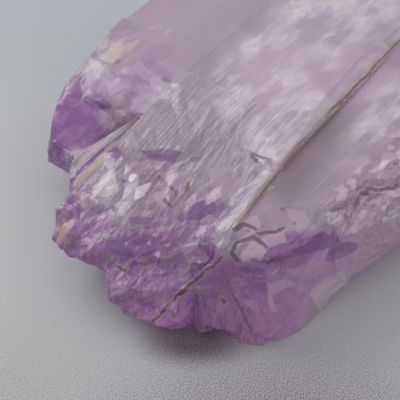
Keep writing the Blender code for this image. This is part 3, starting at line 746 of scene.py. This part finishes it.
        (0.5, [(-10.2, 22.3, 13), (-9.2, 21.2, 13.4), (-9.6, 19.4, 13.8), (-11.1, 19.3, 13.1),
              (-11.5, 20.8, 12.9)]),
        (0.4, [(-9.2, 19.1, 14.1), (-8.5, 17.6, 14.9), (-9, 16.1, 15.1), (-10.1, 16.9, 14.4),
              (-10.1, 18.5, 13.9)]),
        (0.35, [(-10.5, 13.5, 14.8), (-9.8, 11.7, 15.4), (-10.3, 10.3, 15.3), (-11.3, 11.5, 14.6),
              (-11.5, 13, 14.4)]),
        (0.5, [(-14, 17.2, 11.4), (-13.1, 16.4, 11.6), (-13.6, 14.8, 10.7), (-14.9, 14.8, 9.9),
              (-15.1, 16.3, 10.6)]),
        (0.4, [(-18.2, 19.8, 10.2), (-17.5, 19, 10.3), (-18.1, 17.5, 9.6), (-19.3, 17.6, 8.7),
              (-19.4, 18.5, 8.8)]),
    ],
    "cream": [
        (1, [(-4.7, 18.7, 14.7), (-1.7, 18.5, 14.7), (-4.4, 16.6, 15.1)]),
        (0.7, [(-8, 20.4, 14.3), (-0.7, 21.3, 14.2), (-0.7, 18.6, 14.7), (-4.6, 16, 15.1),
              (-7.4, 16.8, 15), (-9, 17, 15)]),
        (0.8, [(-29.2, 9.4, 10.2), (-28.7, 8, 10.6), (-30.1, 5.9, 9.2), (-31.2, 5.4, 7.7),
              (-31.2, 7.1, 7.6)]),
        (0.7, [(-23.8, -10.9, 8.1), (-23.7, -12.2, 11.5), (-23.7, -12.8, 10.7), (-24, -11.8, 8.5)]),
        (0.8, [(-19.4, -2.8, 13.2), (-17.6, -3.1, 13.3), (-18.7, -3.5, 13.4)]),
        (0.9, [(-30.2, -0.6, 8.1), (-29.3, -1.6, 8.7), (-28.8, -2.5, 8.7), (-29.6, -2.5, 8.1),
              (-30.4, -1.3, 7.9)]),
        (0.7, [(-28.1, -4.8, 8), (-26.7, -5.8, 9.3), (-24.2, -6.8, 10.8), (-24.3, -7.2, 10.4),
              (-26.9, -6.2, 9), (-28, -5.6, 8)]),
    ],
    "veil": [
        (1, [(4.2, 6.4, 16.8), (9.3, 5.5, 16.6), (4.2, 3.2, 16.7), (3.2, 4.8, 16.6)]),
        (0.7, [(1.8, 6.3, 16.7), (2.2, -0.5, 16.8), (-3.9, -3.4, 16.8), (-2.2, 5.5, 16.6)]),
        (0.9, [(0.4, -5, 17), (3.4, -7.3, 17.1), (1, -10.5, 16.4), (-2.5, -7, 16.9)]),
        (0.8, [(16.1, 7.1, 16.5), (25.9, -4.7, 16.2), (19.9, -8.5, 16.6), (14.9, -5.6, 16.9),
              (16.8, -1.2, 16.6), (13.8, 4.6, 16.6)]),
        (0.8, [(14.9, -2.4, 16.9), (17.6, -5.4, 16.7), (9.5, -7.6, 17.3), (3.8, -6.3, 17.1)]),
        (0.6, [(-8.2, -4.1, 16.5), (-4.8, -5.6, 17), (-1.8, -9.4, 17), (-7.5, -9.8, 16.5),
              (-13.5, -8.7, 15), (-9.2, -6.9, 16.3)]),
        (0.8, [(8.7, 6, 16.6), (12.6, 4.2, 16.6), (9.8, 0.6, 16.8), (5.9, 1.8, 16.7)]),
        (0.7, [(2, -1, 16.8), (6, -2, 16.9), (3.8, -5.2, 17), (0.3, -4.5, 17)]),
        (0.7, [(-6.7, 2.2, 16.8), (-3.4, 0.6, 16.8), (-6.1, -2.4, 17), (-9, -0.9, 16.5)]),
    ],
}


def inside_facets(points, several):
    """How far inside the nearest of several flat facets a point is, in millimetres, and its strength.

    A facet is bounded by planes through its sides that run along the way in, and counts for 3 mm in depth.
    Outside them all the first number is below 0.
    """
    way = np.array(INTO) / np.linalg.norm(INTO)
    depth = points @ way
    found = np.full(len(points), -3.0)
    strength = np.zeros(len(points))
    for strong, corners in several:
        corners = np.array(corners, float)
        middle = corners.mean(axis=0)
        inside = np.where(np.abs(depth - middle @ way) < 3, 9.0, -3.0)
        for start, end in zip(corners, np.roll(corners, -1, axis=0)):
            side = np.cross(end - start, way)
            side /= np.linalg.norm(side)
            side *= np.sign((middle - start) @ side)
            inside = np.minimum(inside, (points - start) @ side)
        strength = np.where(inside > found, strong, strength)
        found = np.maximum(found, inside)
    return found, strength


def stone_patterns(places):
    """The places of colour in the stone, in millimetres: each is a number for every corner of the mesh."""
    x, _, z = places.T
    wander = np.stack([cloud(places, 2.2, seed) for seed in (31, 41, 51)], axis=1)
    shiver = np.stack([cloud(places, 0.9, seed, 2) for seed in (131, 141, 151)], axis=1)
    crooked = places + 0.4 * wander
    nicked = places + 0.12 * wander + 0.1 * shiver
    torn = places + 0.3 * wander + 0.2 * shiver
    ahead = soft_step(places @ np.array(INTO), 17, 20)
    haze = cloud(places, 6, 71, 3, (2, 1, 1))

    deep = spots(crooked, [
        ((-30, -5, 4.5), (7, 8, 5), 0, 0.6),
        ((-27, -3, 10), (6.5, 7.5, 2.4), -35, 0.6),
        ((-23, -15.5, 6), (8.5, 6, 7), -20, 0.5),
        ((-18, -18.2, 12), (5, 3.2, 2.6), -30, 0.6),
        ((-15, 20, 9.5), (6.5, 8, 4.2), 20, 0.6),
        ((-27, 6, 8), (6, 5, 3.5), 0, 0.5),
    ])
    # Lighter, warmer violet low on the broken end: partly the stone's own warmer colour, partly painted light
    # standing in for light glowing through the stone on walls in shade.
    ruddy_painted_glow = spots(crooked, [
        ((-22, -17.5, 4), (8.5, 6, 8.5), -20, 0.5),
        ((-29, -7, 3), (6, 5, 5), 0, 0.4),
        ((-13, -21.5, 9), (9, 4.5, 4.5), 0, 0.4),
    ])
    end = (1 - soft_step(x, -25, -17)) * (1 - soft_step(z, 10.5, 13.2))
    faint = spots(crooked, [
        ((-8, 13, 15), (7, 6, 3), 0, 0.4),
        ((-21, 0, 13), (5.5, 7, 2.5), 0, 0.5),
    ])
    violet = np.clip(np.maximum.reduce([deep * 0.95, 0.8 * end, 0.4 * faint]) + 0.1 * haze, 0, 1)

    clouds = 0.4 * patches(torn, 2.8, 81, (1.7, 1, 1), 0.25) + 0.3 * patches(torn, 1.1, 82, (2, 1, 1), 0.2)
    clouds += 0.25 + 0.3 * cloud(crooked, 2.4, 91, 4, (2, 1, 1))
    region = spots(places, [
        ((20, 1, 16), (19, 11, 6), 5, 0.4),
        ((1, 0.5, 17), (11, 8, 4), 15, 0.3),
        ((-4, -6, 16), (11, 4.5, 3), 5, 0.3),
        ((6, -15, 15), (14, 5, 3), 5, 0.3),
        ((27, 6, 10), (9, 16, 14), 0, 0.2),
    ])
    inside, strength = inside_facets(torn, FACETS["veil"])
    veil = soft_step(inside, -0.6, 0.5) * strength
    milk = region * (0.2 + 0.6 * soft_step(clouds, 0.45, 0.8))
    milk = np.maximum(milk, veil * (0.2 + 0.6 * soft_step(clouds, 0.3, 0.65)))
    rib = (1 - soft_step(line_distance(nicked, RIB_TOP, INTO), 0.35, 0.75)) * soft_step(z, 11, 12)
    rib = rib * (1 - soft_step(x, -17, -12.5))

    tan = spots(crooked, [
        ((-3.8, 21, 14), (4.5, 3.5, 2), 10, 0.2),
        ((-30.3, 7.4, 9), (1.6, 2.2, 2.2), 0, 0.3),
        ((-17.7, -2.7, 13.3), (1.3, 0.8, 0.8), 0, 0.3),
        ((-26, 6, 12), (2.4, 2.2, 1.0), 0, 0.2),
    ]) * soft_step(cloud(places, 1.2, 101), -0.15, 0.5)
    high = soft_step(z, 11, 12)
    foot = (1 - soft_step(line_distance(nicked, RIB_FOOT, INTO), 0.3, 0.6)) * high
    groove = (1 - soft_step(line_distance(nicked, RIB_GROOVE, INTO), 0.15, 0.4)) * high
    uneven = 0.14 * cloud(places, 0.7, 121, 2)
    away = 3 * (1 - ahead)
    crack = [line_distance(torn, corners, INTO) for corners in CRACKS]
    crack[1:3] = [thin + 0.08 for thin in crack[1:3]]
    crack = np.min(crack, axis=0) + uneven + away
    thread = np.min([line_distance(torn, corners, INTO) for corners in THREADS], axis=0) + 2 * uneven
    strip = np.min([line_distance(nicked, corners, INTO) for corners in STRIPS], axis=0) + away
    sliver = line_distance(torn, SLIVER, (0, -0.4, 0.9)) + 3 * (1 - soft_step(z, 11, 12))
    tan = np.maximum.reduce([tan, 0.8 * foot, 0.5 * (1 - soft_step(crack, 0.15, 0.7))])
    found = {
        "violet": violet, "ruddy_painted_glow": ruddy_painted_glow, "milk": milk, "rib": rib, "tan": tan, "groove": groove,
        "crack": crack, "strip": np.minimum(strip, sliver),
        "thread": thread + 3 * (1 - soft_step(z, 9, 10.5)),
    }
    for name in ("chip", "pale", "gem", "cream"):
        found[name], found[name + "_strength"] = inside_facets(nicked, FACETS[name])
    return found


def read_facets(mesh):
    """Keeps on the mesh what the stone's colours need: how its facets turn, their edges, and the patterns.

    The facet shading of a face is half plus half the sine of its direction times a fixed vector, so faces
    that lie the same way share a shade, and it changes sharply over an edge; it is painted shade and painted
    reflection by the way a face points. The edge number of a corner is how far it stands out from the mean of
    its neighbours, in shares of their mean distance: about a half on flat stone. High numbers get painted
    highlights and low ones painted shade.
    """
    count = len(mesh.vertices)
    places = np.empty(count * 3, np.float32)
    mesh.vertices.foreach_get("co", places)
    places = places.reshape(-1, 3).astype(float)
    normals = np.empty(count * 3, np.float32)
    mesh.vertices.foreach_get("normal", normals)
    normals = normals.reshape(-1, 3)
    ends = np.empty(len(mesh.edges) * 2, np.int32)
    mesh.edges.foreach_get("vertices", ends)
    a, b = ends.reshape(-1, 2).T
    runs = places[b] - places[a]
    length = np.linalg.norm(runs, axis=1)
    total = np.bincount(a, (runs * normals[a]).sum(axis=1), count)
    total -= np.bincount(b, (runs * normals[b]).sum(axis=1), count)
    spread = np.bincount(a, length, count) + np.bincount(b, length, count)
    turned = np.empty(len(mesh.polygons) * 3, np.float32)
    mesh.polygons.foreach_get("normal", turned)
    facet_shading = 0.5 + 0.5 * np.sin(turned.reshape(-1, 3) @ np.array(FACET_SHADING_WAY))
    broken = broken_share(places / MM, normals[:, 2])
    corners = {"edge": 0.5 - total / np.maximum(spread, 1e-12), "broken": broken}
    corners.update(stone_patterns(places / MM))
    for name, values in corners.items():
        mesh.attributes.new(name, "FLOAT", "POINT").data.foreach_set("value", values.astype(np.float32))
    mesh.attributes.new("facet_shading", "FLOAT", "FACE").data.foreach_set("value", facet_shading.astype(np.float32))


def thinned(mesh, name, triangles):
    """A new object with the mesh cut down to so many triangles, flat faces first, and flat shaded."""
    obj = bpy.data.objects.new(name, mesh)
    bpy.context.scene.collection.objects.link(obj)
    mesh.calc_loop_triangles()
    thin = obj.modifiers.new("thin", "DECIMATE")
    thin.ratio = min(1.0, triangles / len(mesh.loop_triangles))
    thin.use_collapse_triangulate = True
    evaluated = obj.evaluated_get(bpy.context.evaluated_depsgraph_get())
    done = bpy.data.meshes.new_from_object(evaluated)
    obj.modifiers.clear()
    obj.data = done
    bpy.data.meshes.remove(mesh)
    done.polygons.foreach_set("use_smooth", np.zeros(len(done.polygons), bool))
    return obj


class KUNZITE_PG_crystal(bpy.types.PropertyGroup):
    """Sizes of the crystal's fine surface."""

    splinter: bpy.props.FloatProperty(
        name="Splinter size", description="Spacing of the splinters on the broken end",
        default=2.3 * MM, min=0.5 * MM, max=8 * MM, subtype="DISTANCE", unit="LENGTH", precision=4)
    roughness: bpy.props.FloatProperty(
        name="Splinter height", description="How far the splinters stand out",
        default=1.3 * MM, min=0, max=3 * MM, subtype="DISTANCE", unit="LENGTH", precision=4)
    ridge: bpy.props.FloatProperty(
        name="Ridge height", description="How far the growth ridges on the top stand out",
        default=0.03 * MM, min=0, max=1 * MM, subtype="DISTANCE", unit="LENGTH", precision=4)
    triangles: bpy.props.IntProperty(
        name="Triangles", description="Most triangles in the finished surface",
        default=190000, min=5000, max=198000)


def tint(name, description, default):
    """A colour setting."""
    return bpy.props.FloatVectorProperty(
        name=name, description=description, default=default, subtype="COLOR", size=3, min=0, max=1)


class KUNZITE_PG_stone(bpy.types.PropertyGroup):
    """Colours of the stone, and of the light and shade painted on it."""

    pale: tint("Pale stone", "Colour of the clear body", (0.66, 0.52, 0.66))
    violet: tint("Violet stone", "Colour of the deep violet end", (0.48, 0.2, 0.56))
    gem: tint("Deepest facets", "Colour of the deepest violet facets", (0.34, 0.14, 0.46))
    # Partly the stone's warmer violet, partly a painted glow on the walls in shade.
    ruddy_painted_glow: tint("Ruddy stone", "Colour of the warmer violet low on the broken end", (0.86, 0.43, 0.85))
    rose: tint("Rosy facets", "Colour of the pinkish facets among the violet", (0.6, 0.36, 0.42))
    clear: tint("Clear facets", "Colour of the palest clear facets", (0.74, 0.56, 0.66))
    # Colour of the painted shade in the hollows, also given to the dark strips and threads.
    hollow_shade_and_seams: tint("Hollows", "Colour in the hollows and narrow seams", (0.24, 0.11, 0.19))
    # Colour of the painted shade on the face beside the step and on the top of the tongue.
    painted_grey_shade: tint("Greyish face", "Colour of the smooth face beside the step", (0.4, 0.3, 0.33))
    milk: tint("Milky veils", "Colour of the cloudy white stone", (0.84, 0.765, 0.79))
    # Colour of the painted highlights: bright facet edges and small glints.
    painted_highlight: tint("Sparkles", "Colour of the facet edges and the small sparkles", (0.85, 0.8, 0.86))
    tan: tint("Earthy dirt", "Colour of the dirt on the rough places", (0.45, 0.34, 0.2))
    stain: tint("Crack stain", "Colour of the dark stain in the cracks", (0.14, 0.06, 0.05))
    depth: tint("Inner colour", "Colour that light takes on in the stone", (0.85, 0.5, 0.86))


class KUNZITE_PG_studio(bpy.types.PropertyGroup):
    """Colours of the floor and of the shade painted on it."""

    floor: tint("Floor", "Colour of the floor", (0.46, 0.47, 0.48))
    far: tint("Far floor", "Colour of the floor at the back", (0.38, 0.42, 0.45))
    # Colour of the painted shade and shadows on the floor.
    shade: tint("Floor shade", "Colour that the floor darkens to in front", (0.1, 0.06, 0.09))


class Field:
    """A number or direction that varies over a surface: one output of a shader node."""

    def __init__(self, tree, socket):
        self.tree = tree
        self.socket = socket

    def math(self, operation, *others):
        """This number and others through one Math node."""
        node = self.tree.nodes.new("ShaderNodeMath")
        node.operation = operation
        for entry, value in zip(node.inputs, (self, *others)):
            feed(self.tree, entry, value)
        return Field(self.tree, node.outputs[0])

    def __add__(self, other):
        return self.math("ADD", other)

    def __sub__(self, other):
        return self.math("SUBTRACT", other)

    def __mul__(self, other):
        return self.math("MULTIPLY", other)

    def __invert__(self):
        """1 less this number."""
        return self.math("MULTIPLY_ADD", -1, 1)

    def __or__(self, other):
        return self.math("MAXIMUM", other)

    def rise(self, low, high):
        """0 up to low, 1 from high on, with a smooth rise between. A low above high falls instead."""
        node = self.tree.nodes.new("ShaderNodeMapRange")
        node.interpolation_type = "SMOOTHSTEP"
        feed(self.tree, node.inputs["Value"], self)
        turned = low > high
        for name, value in zip(
            ("From Min", "From Max", "To Min", "To Max"),
            (high, low, 1, 0) if turned else (low, high, 0, 1),
        ):
            node.inputs[name].default_value = value
        return Field(self.tree, node.outputs["Result"])

    def vector(self, operation, scale=None):
        """This direction through one Vector Math node, times a scale or as its length."""
        node = self.tree.nodes.new("ShaderNodeVectorMath")
        node.operation = operation
        feed(self.tree, node.inputs[0], self)
        if scale is not None:
            node.inputs["Scale"].default_value = scale
        return Field(self.tree, node.outputs["Value" if operation == "LENGTH" else "Vector"])


def feed(tree, entry, value):
    """Links a field to a socket, or sets a plain value on it."""
    if isinstance(value, Field):
        tree.links.new(value.socket, entry)
    else:
        entry.default_value = value


class Surface:
    """Patterns over a surface, from a point's place in millimetres."""

    def __init__(self, tree):
        self.tree = tree
        place = tree.nodes.new("ShaderNodeTexCoord")
        self.place = Field(tree, place.outputs["Object"]).vector("SCALE", 1 / MM)
        axes = tree.nodes.new("ShaderNodeSeparateXYZ")
        feed(tree, axes.inputs[0], self.place)
        self.x, self.y, self.z = (Field(tree, output) for output in axes.outputs)

    def stored(self, name):
        """A number kept on the mesh."""
        node = self.tree.nodes.new("ShaderNodeAttribute")
        node.attribute_name = name
        return Field(self.tree, node.outputs["Fac"])

    def mapped(self, sizes, turn=0, tilt=0, middle=(0, 0, 0)):
        """Places from a middle, turned back about Z and Y, in shares of a size along each axis."""
        node = self.tree.nodes.new("ShaderNodeMapping")
        node.vector_type = "TEXTURE"
        feed(self.tree, node.inputs["Vector"], self.place)
        node.inputs["Location"].default_value = middle
        node.inputs["Rotation"].default_value = (0, math.radians(tilt), math.radians(turn))
        node.inputs["Scale"].default_value = sizes
        return Field(self.tree, node.outputs[0])

    def cloud(self, size, stretch=(1, 1, 1), turn=0, tilt=0, detail=3):
        """Smooth noise from 0 to 1, with humps about so many millimetres apart."""
        node = self.tree.nodes.new("ShaderNodeTexNoise")
        feed(self.tree, node.inputs["Vector"], self.mapped(stretch, turn, tilt))
        node.inputs["Scale"].default_value = 1 / size
        node.inputs["Detail"].default_value = detail
        return Field(self.tree, node.outputs["Fac"])

    def cells(self, size, places):
        """A random number for each of a set of flat-sided cells, and the distance from the cell's middle."""
        node = self.tree.nodes.new("ShaderNodeTexVoronoi")
        feed(self.tree, node.inputs["Vector"], places)
        node.inputs["Scale"].default_value = 1 / size
        split = self.tree.nodes.new("ShaderNodeSeparateColor")
        self.tree.links.new(node.outputs["Color"], split.inputs[0])
        return Field(self.tree, split.outputs[0]), Field(self.tree, node.outputs["Distance"])

    def facets(self, size, stretch, turn):
        """A random number for each of a set of flat-sided cells."""
        return self.cells(size, self.mapped(stretch, turn))[0]

    def specks(self, size, radius, share):
        """1 on round specks of a radius in millimetres, strewn about so far apart, where a share are kept."""
        number, away = self.cells(size, self.place)
        kept = number.rise(1 - share, 1.001 - share)
        return away.rise(radius / size, 0.4 * radius / size) * kept

    def spot(self, middle, radii, turn=0, hard=0.3):
        """1 inside an ellipsoid and 0 outside it, with an edge that starts at a share of its radius."""
        return self.mapped(radii, turn, 0, middle).vector("LENGTH").rise(1, hard)


def mixed(tree, first, second, share):
    """The socket of two colours mixed by a share, where each is a colour or such a socket."""
    node = tree.nodes.new("ShaderNodeMix")
    node.data_type = "RGBA"
    feed(tree, node.inputs["Factor"], share)
    for entry, colour in zip((node.inputs["A"], node.inputs["B"]), (first, second)):
        entry = next(i for i in node.inputs if i.name == entry.name and i.type == "RGBA")
        if isinstance(colour, bpy.types.NodeSocket):
            tree.links.new(colour, entry)
        else:
            entry.default_value = (*colour, 1)
    return next(o for o in node.outputs if o.type == "RGBA")


def stone_material(colours):
    """Clear, pale lilac stone, violet at the broken end, with milky veils and dirt in its cracks, and painted
    highlights, shade and reflection on its facets.

    A | between two patterns takes the stronger one, and a ~ before a pattern turns it round.
    """
    material = bpy.data.materials.new("kunzite_stone")
    material.use_nodes = True
    tree = material.node_tree
    shader = tree.nodes["Principled BSDF"]
    stone = Surface(tree)
    x, y, z = stone.x, stone.y, stone.z
    facet_shading, edge, broken = map(stone.stored, ("facet_shading", "edge", "broken"))
    violet, ruddy_painted_glow, milk, rib, dirt = map(stone.stored, ("violet", "ruddy_painted_glow", "milk", "rib", "tan"))
    groove = stone.stored("groove")
    names = ("chip", "pale", "gem", "cream")
    insides = [stone.stored(name) for name in names]
    chip, pale, gem, cream = (
        inside.rise(-0.06, 0.08) * stone.stored(name + "_strength") for name, inside in zip(names, insides)
    )
    chips, pales, gems, _ = insides
    border = (chips | pales | gems).math("ABSOLUTE").rise(0.14, 0.03)
    plain = ~(pales | gems).rise(-0.06, 0.08)
    crack = stone.stored("crack").rise(0.26, 0.1)
    strip = stone.stored("strip").rise(0.3, 0.14)
    thread = stone.stored("thread").rise(0.2, 0.08)

    # Where the streaks, the hackly right edge and the calmer left shoulder are.
    top = z.rise(13.5, 15)
    middle = x.rise(6, -6) * y.rise(-10.5, -9.5) * (y.rise(9, 3) * 0.4 + 0.6)
    shoulder = stone.spot((-9, 14.5, 15), (11, 7, 5), 0, 0.5)
    hackly = y.rise(-16.5, -19) * x.rise(-13, -10) * z.rise(9, 12)
    flank = y.rise(-19, -21.5) * x.rise(-14, -10) * z.rise(3, 8)
    # Painted shade: the top of the tongue is darkened towards grey.
    tongue = stone.spot((-13.5, 4, 15), (9, 9, 3), 0, 0.5)

    streak = stone.cloud(0.4, (14, 0.8, 3), 1) - 0.5
    streak = streak * ((middle | y.rise(-14, -15.5) * 0.45) * 0.75 + 0.12) * (plain * 0.8 + 0.2)
    strands = stone.cloud(0.28, (22, 1, 1), -4, -10) - 0.5
    large = stone.facets(2.0, (1.7, 1, 1), 20)
    small = stone.facets(0.75, (1.6, 1, 1), -15)

    # The step: a stained seam with a knot, dirt and a pale rim beside it, and painted shade on the greyish
    # face below it.
    along_step = y - x * 0.056 + (stone.cloud(1.8, (2.5, 1, 1), detail=4) * 1.1 + 9.85)
    seam = along_step.math("ABSOLUTE")
    knot = stone.spot((3.3, -10.3, 16.4), (1.0, 0.5, 0.9))
    step_stain = (seam + large * 0.12).rise(0.3, 0.08) * top * (x.rise(-1, 3) * 0.65 + 0.35) | knot
    step_tan = seam.rise(1.2, 0.1) * top * 0.55
    rim = along_step.rise(0.05, 0.35) * along_step.rise(2.6, 0.7) * (small * 0.6 + 0.4) * top
    painted_grey_shade = along_step.rise(0.2, -0.3) * along_step.rise(-5.5, -2.5) * x.rise(-17, -13) * x.rise(6, -2)

    # How the colour turns from facet to facet, with painted shade and reflection by the way a face points.
    rough = broken * (plain * 0.85 + 0.15)
    # Violet deeper or paler from facet to facet: at random by cell, and as painted shade by the way a face
    # points.
    turn = (large - 0.5) * 0.5 + (small - 0.5) * 0.15 - (facet_shading - 0.5) * 0.45
    paler = ~violet.rise(0.1, 0.5)
    violet = (turn * rough * violet.rise(0, 0.5) + violet).rise(0, 0.95)
    # Rosy facets of the stone's pink, picked mostly by the way a face points: painted reflection.
    rose = (small * 0.4 + facet_shading * 0.8).rise(0.62, 0.8) * violet * rough
    # Pale frosted facets: painted reflection on faces that point one way; on the hackly edge, frost of the
    # stone itself.
    frost_and_painted_reflection = (facet_shading * 0.9 + small * 0.3).rise(0.9, 1.05) * rough * paler * (~shoulder) * 0.55
    frost_and_painted_reflection = frost_and_painted_reflection | hackly * small.rise(0.55, 0.8)
    # Painted highlights on the convex corners and facet borders of the broken stone.
    painted_edge_highlight = (edge.rise(0.62, 0.76) | border * 0.7) * broken * (~shoulder * 0.7)
    # Painted shade in the hollows, where a corner sinks below its neighbours.
    hollow_shade_and_seams = edge.rise(0.44, 0.3) * rough * 0.35
    # Painted glints: small bright specks on the broken stone and the streaked top.
    painted_glint = stone.specks(1.3, 0.14, 0.3) * (broken * 0.6 + middle * 0.5) * top
    milk = (small * 0.5 + large * 0.3 + streak + 0.6) * milk
    cloudy = streak.rise(0.02, 0.2) * 0.35 | frost_and_painted_reflection * 0.25 | rim * 0.62 | milk * 0.75
    cloudy = cloudy | rib * (strands * 6 + 0.85) | chip * (small * 0.4 + 0.55)

    colour = colours.pale
    for second, share in (
        (colours.violet, violet),
        (colours.ruddy_painted_glow, ruddy_painted_glow * 0.65),
        (colours.rose, rose * 0.55),
        (colours.painted_grey_shade, painted_grey_shade * 0.75 | tongue * 0.3),
        (colours.clear, pale * 0.7 | hackly * 0.75 | flank * 0.4),
        (colours.gem, gem * (large * 0.25 + 0.75) | groove * 0.9),
        (colours.milk, cloudy),
        (colours.painted_highlight, painted_edge_highlight * 0.18 | painted_glint),
        (colours.hollow_shade_and_seams, hollow_shade_and_seams | strip * 0.85 | thread * 0.6),
        (colours.tan, (dirt | step_tan | cream * (small * 0.6 + 0.2)) * 0.75),
        (colours.stain, step_stain * 0.85 | crack * 0.9),
    ):
        colour = mixed(tree, colour, second, share)
    tree.links.new(colour, shader.inputs["Base Color"])

    dull = milk * 0.6 | dirt | rib * 0.8 | pale * 0.4 | rim * 0.5 | frost_and_painted_reflection * 0.5 | chip * 0.7
    dull = dull | step_stain | crack
    clear = ~(dull * 0.75) * ((facet_shading - 0.5) * rough * 0.3 - streak * 0.6 + 0.6)
    matt = (small - 0.5) * rough * 0.2 + (dull * 0.2 + 0.27) + shoulder * 0.18
    feed(tree, shader.inputs["Transmission Weight"], clear)
    feed(tree, shader.inputs["Roughness"], matt)
    shader.inputs["IOR"].default_value = STONE_IOR
    shader.inputs["Specular IOR Level"].default_value = STONE_SHINE

    relief = streak * 2 + strands * rib * 5 + (large * 0.8 + small * 0.5) * rough
    relief = relief + chips.math("MAXIMUM", 0) * 2
    relief = relief + hackly * small * 1.5 - (crack | step_stain | strip) * 1.5
    bump = tree.nodes.new("ShaderNodeBump")
    bump.inputs["Distance"].default_value = RELIEF_HEIGHT
    bump.inputs["Strength"].default_value = RELIEF_STRENGTH
    feed(tree, bump.inputs["Height"], relief)
    tree.links.new(bump.outputs[0], shader.inputs["Normal"])

    depth = tree.nodes.new("ShaderNodeVolumeAbsorption")
    depth.inputs["Color"].default_value = (*colours.depth, 1)
    depth.inputs["Density"].default_value = STONE_DENSITY
    tree.links.new(depth.outputs[0], tree.nodes["Material Output"].inputs["Volume"])
    return material


def floor_material(colours):
    """Pale matt paper with a fine grain, cooler at the back, with painted shade that darkens it in front and
    painted shadows of the crystal beyond the broken end and under its overhang.
    """
    material = bpy.data.materials.new("floor_paper")
    material.use_nodes = True
    tree = material.node_tree
    shader = tree.nodes["Principled BSDF"]
    paper = Surface(tree)
    ahead = paper.x * -0.788 + paper.y * -0.616
    # Painted shade: the floor darkens towards the front.
    near = ahead.rise(16, 46)
    # Painted shadow: a broad soft one beyond the broken end.
    shadow = paper.spot((-33, -27, 0), (26, 17, 9), -52, 0.1)
    # Painted shadow: a dark contact shadow under the overhang of the broken end.
    under = paper.spot((-28, -11.5, 0), (9, 5, 9), -52, 0.2)
    grain = paper.cloud(0.17, detail=1) - 0.5
    shade = near * 0.22 + shadow * 0.34 + under * 0.75 + grain * (near * 2.2 + shadow * 0.8 + 0.15)
    tinted = mixed(tree, colours.floor, colours.far, ahead.rise(10, -45) * 0.9)
    tree.links.new(mixed(tree, tinted, colours.shade, shade), shader.inputs["Base Color"])
    shader.inputs["Roughness"].default_value = 0.8
    return material


class KUNZITE_OT_crystal(bpy.types.Operator):
    """Makes the crystal's finely broken surface in place of its plain solid"""

    bl_idname = "kunzite.crystal"
    bl_label = "Crystal"

    def execute(self, context):
        scene = context.scene
        sizes = scene.kunzite_crystal
        worked = worked_surface(crystal_grid(*GRID), sizes)
        crystal = thinned(mesh_from_grid(worked, "crystal"), "crystal_surface", sizes.triangles)
        read_facets(crystal.data)
        crystal.data.materials.clear()
        crystal.data.materials.append(stone_material(scene.kunzite_stone))
        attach(crystal, "root")
        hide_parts("kunzite_crystal")
        return {"FINISHED"}


class KUNZITE_OT_studio(bpy.types.Operator):
    """Makes the pale floor, the soft light and the camera at the photograph's angle"""

    bl_idname = "kunzite.studio"
    bl_label = "Studio"

    def execute(self, context):
        scene = context.scene
        bpy.ops.mesh.primitive_plane_add(size=FLOOR_SIDE)
        floor = context.object
        floor.name = "floor"
        floor.data.materials.append(floor_material(scene.kunzite_studio))

        world = bpy.data.worlds.new("studio_air")
        world.use_nodes = True
        air = world.node_tree.nodes["Background"]
        air.inputs["Color"].default_value = AIR_COLOUR
        air.inputs["Strength"].default_value = AIR_STRENGTH
        scene.world = world
        scene.view_settings.view_transform = "Standard"

        lamp = bpy.data.lights.new("window", "AREA")
        lamp.energy = LIGHT_POWER
        lamp.size = LIGHT_SIDE
        light = bpy.data.objects.new("window", lamp)
        light.location = LIGHT_PLACE
        light.rotation_euler = (Vector((0, 0, 0)) - light.location).to_track_quat("-Z", "Y").to_euler()
        scene.collection.objects.link(light)

        lens = bpy.data.cameras.new("camera")
        lens.lens = CAMERA_LENS
        lens.sensor_width = CAMERA_SENSOR
        lens.clip_start = 0.01
        camera = bpy.data.objects.new("camera", lens)
        turn, rise = math.radians(CAMERA_TURN), math.radians(CAMERA_RISE)
        back = Vector((math.sin(turn) * math.cos(rise), -math.cos(turn) * math.cos(rise), math.sin(rise)))
        camera.location = Vector(CAMERA_AIM) * MM + back * CAMERA_AWAY * MM
        camera.rotation_euler = (-back).to_track_quat("-Z", "Y").to_euler()
        scene.collection.objects.link(camera)
        scene.camera = camera
        return {"FINISHED"}


class KUNZITE_PT_panel(bpy.types.Panel):
    """Lists the crystal's settings and its operators"""

    bl_idname = "KUNZITE_PT_panel"
    bl_label = "Kunzite crystal"
    bl_space_type = "VIEW_3D"
    bl_region_type = "UI"
    bl_category = "Kunzite"

    def draw(self, context):
        scene = context.scene
        for settings, operator in (
            (scene.kunzite_crystal, "kunzite.crystal"),
            (scene.kunzite_stone, None),
            (scene.kunzite_studio, "kunzite.studio"),
        ):
            box = self.layout.box()
            for name in settings.__annotations__:
                box.prop(settings, name)
            if operator:
                box.operator(operator)


SETTINGS = {
    "kunzite_crystal": KUNZITE_PG_crystal,
    "kunzite_stone": KUNZITE_PG_stone,
    "kunzite_studio": KUNZITE_PG_studio,
}
OPERATORS = (KUNZITE_OT_crystal, KUNZITE_OT_studio)


def register():
    for kind in (*SETTINGS.values(), *OPERATORS, KUNZITE_PT_panel):
        bpy.utils.register_class(kind)
    for name, kind in SETTINGS.items():
        setattr(bpy.types.Scene, name, bpy.props.PointerProperty(type=kind))


def unregister():
    for name in SETTINGS:
        delattr(bpy.types.Scene, name)
    for kind in (KUNZITE_PT_panel, *reversed(OPERATORS), *reversed(SETTINGS.values())):
        bpy.utils.unregister_class(kind)


def main():
    register()
    bpy.ops.kunzite.crystal()
    bpy.ops.kunzite.studio()


if __name__ == "__main__":
    main()
